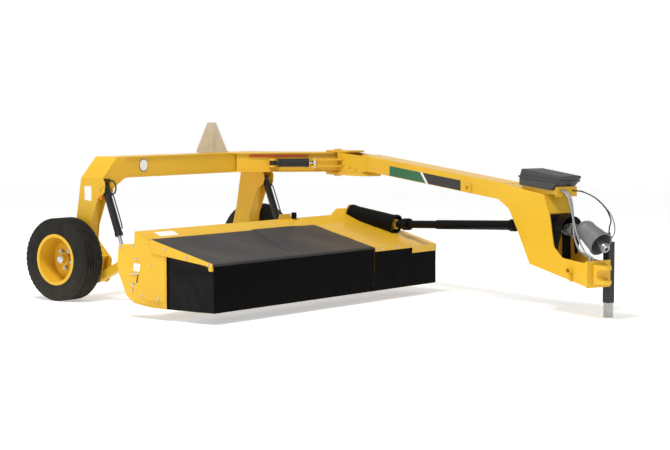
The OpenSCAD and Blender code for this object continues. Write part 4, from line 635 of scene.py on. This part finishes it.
# Stage: a floor that turns up into a wall all round, and soft light
def bowl(name, flat, bend, wall, sides=96):
    """A revolved floor, flat to one radius, then bent up into a wall, in metres."""
    line = [(0.0, 0.0), (flat * 0.5, 0.0), (flat, 0.0)]
    line += [(flat + bend * math.sin(a), bend * (1 - math.cos(a)))
             for a in (math.pi / 2 * k / 10 for k in range(1, 11))]
    line.append((flat + bend, bend + wall))
    verts, faces = [(0, 0, 0)], []
    for r, z in line[1:]:
        verts += [(r * math.cos(i * math.tau / sides), r * math.sin(i * math.tau / sides), z)
                  for i in range(sides)]
    faces += [(0, 1 + i, 1 + (i + 1) % sides) for i in range(sides)]
    for k in range(len(line) - 2):
        a, b = 1 + k * sides, 1 + (k + 1) * sides
        faces += [(a + i, b + i, b + (i + 1) % sides, a + (i + 1) % sides) for i in range(sides)]
    mesh = bpy.data.meshes.new(name)
    mesh.from_pydata(verts, [], faces)
    mesh.polygons.foreach_set("use_smooth", [True] * len(faces))
    obj = bpy.data.objects.new(name, mesh)
    obj.location.z = -0.0005
    bpy.context.collection.objects.link(obj)
    return obj


STAGE_GLOW = 0.42
FLOOR_FLAT, FLOOR_BEND, FLOOR_WALL = 24.0, 8.0, 4.0
STAGE = material("stage", (0.86, 0.86, 0.855), rough=0.9, vary=0.012, scale=0.4)
stage_bsdf = next(n for n in STAGE.node_tree.nodes if n.type == "BSDF_PRINCIPLED")
stage_bsdf.inputs["Emission Color"].default_value = (1.0, 1.0, 1.0, 1)
stage_bsdf.inputs["Emission Strength"].default_value = STAGE_GLOW
floor = bowl("floor", FLOOR_FLAT, FLOOR_BEND, FLOOR_WALL)
floor.data.materials.append(STAGE)


def area_light(name, place, target, size, power, color):
    data = bpy.data.lights.new(name, "AREA")
    data.shape = "DISK"
    data.size = size
    data.energy = power
    data.color = color
    obj = bpy.data.objects.new(name, data)
    obj.location = place
    obj.rotation_euler = (Vector(target) - Vector(place)).to_track_quat("-Z", "Y").to_euler()
    bpy.context.collection.objects.link(obj)
    return obj


KEY_AT, KEY_AIM, KEY_SIZE, KEY_POWER = (-6.0, -0.5, 12.0), (0, 0, 0.6), 4.0, 1500
SKY_STRENGTH = 0.43
area_light("key", KEY_AT, KEY_AIM, KEY_SIZE, KEY_POWER, (1.0, 0.96, 0.90))
world = bpy.data.worlds.new("world")
bpy.context.scene.world = world
world.use_nodes = True
world.node_tree.nodes["Background"].inputs[0].default_value = (0.95, 0.97, 1.0, 1)
world.node_tree.nodes["Background"].inputs[1].default_value = SKY_STRENGTH
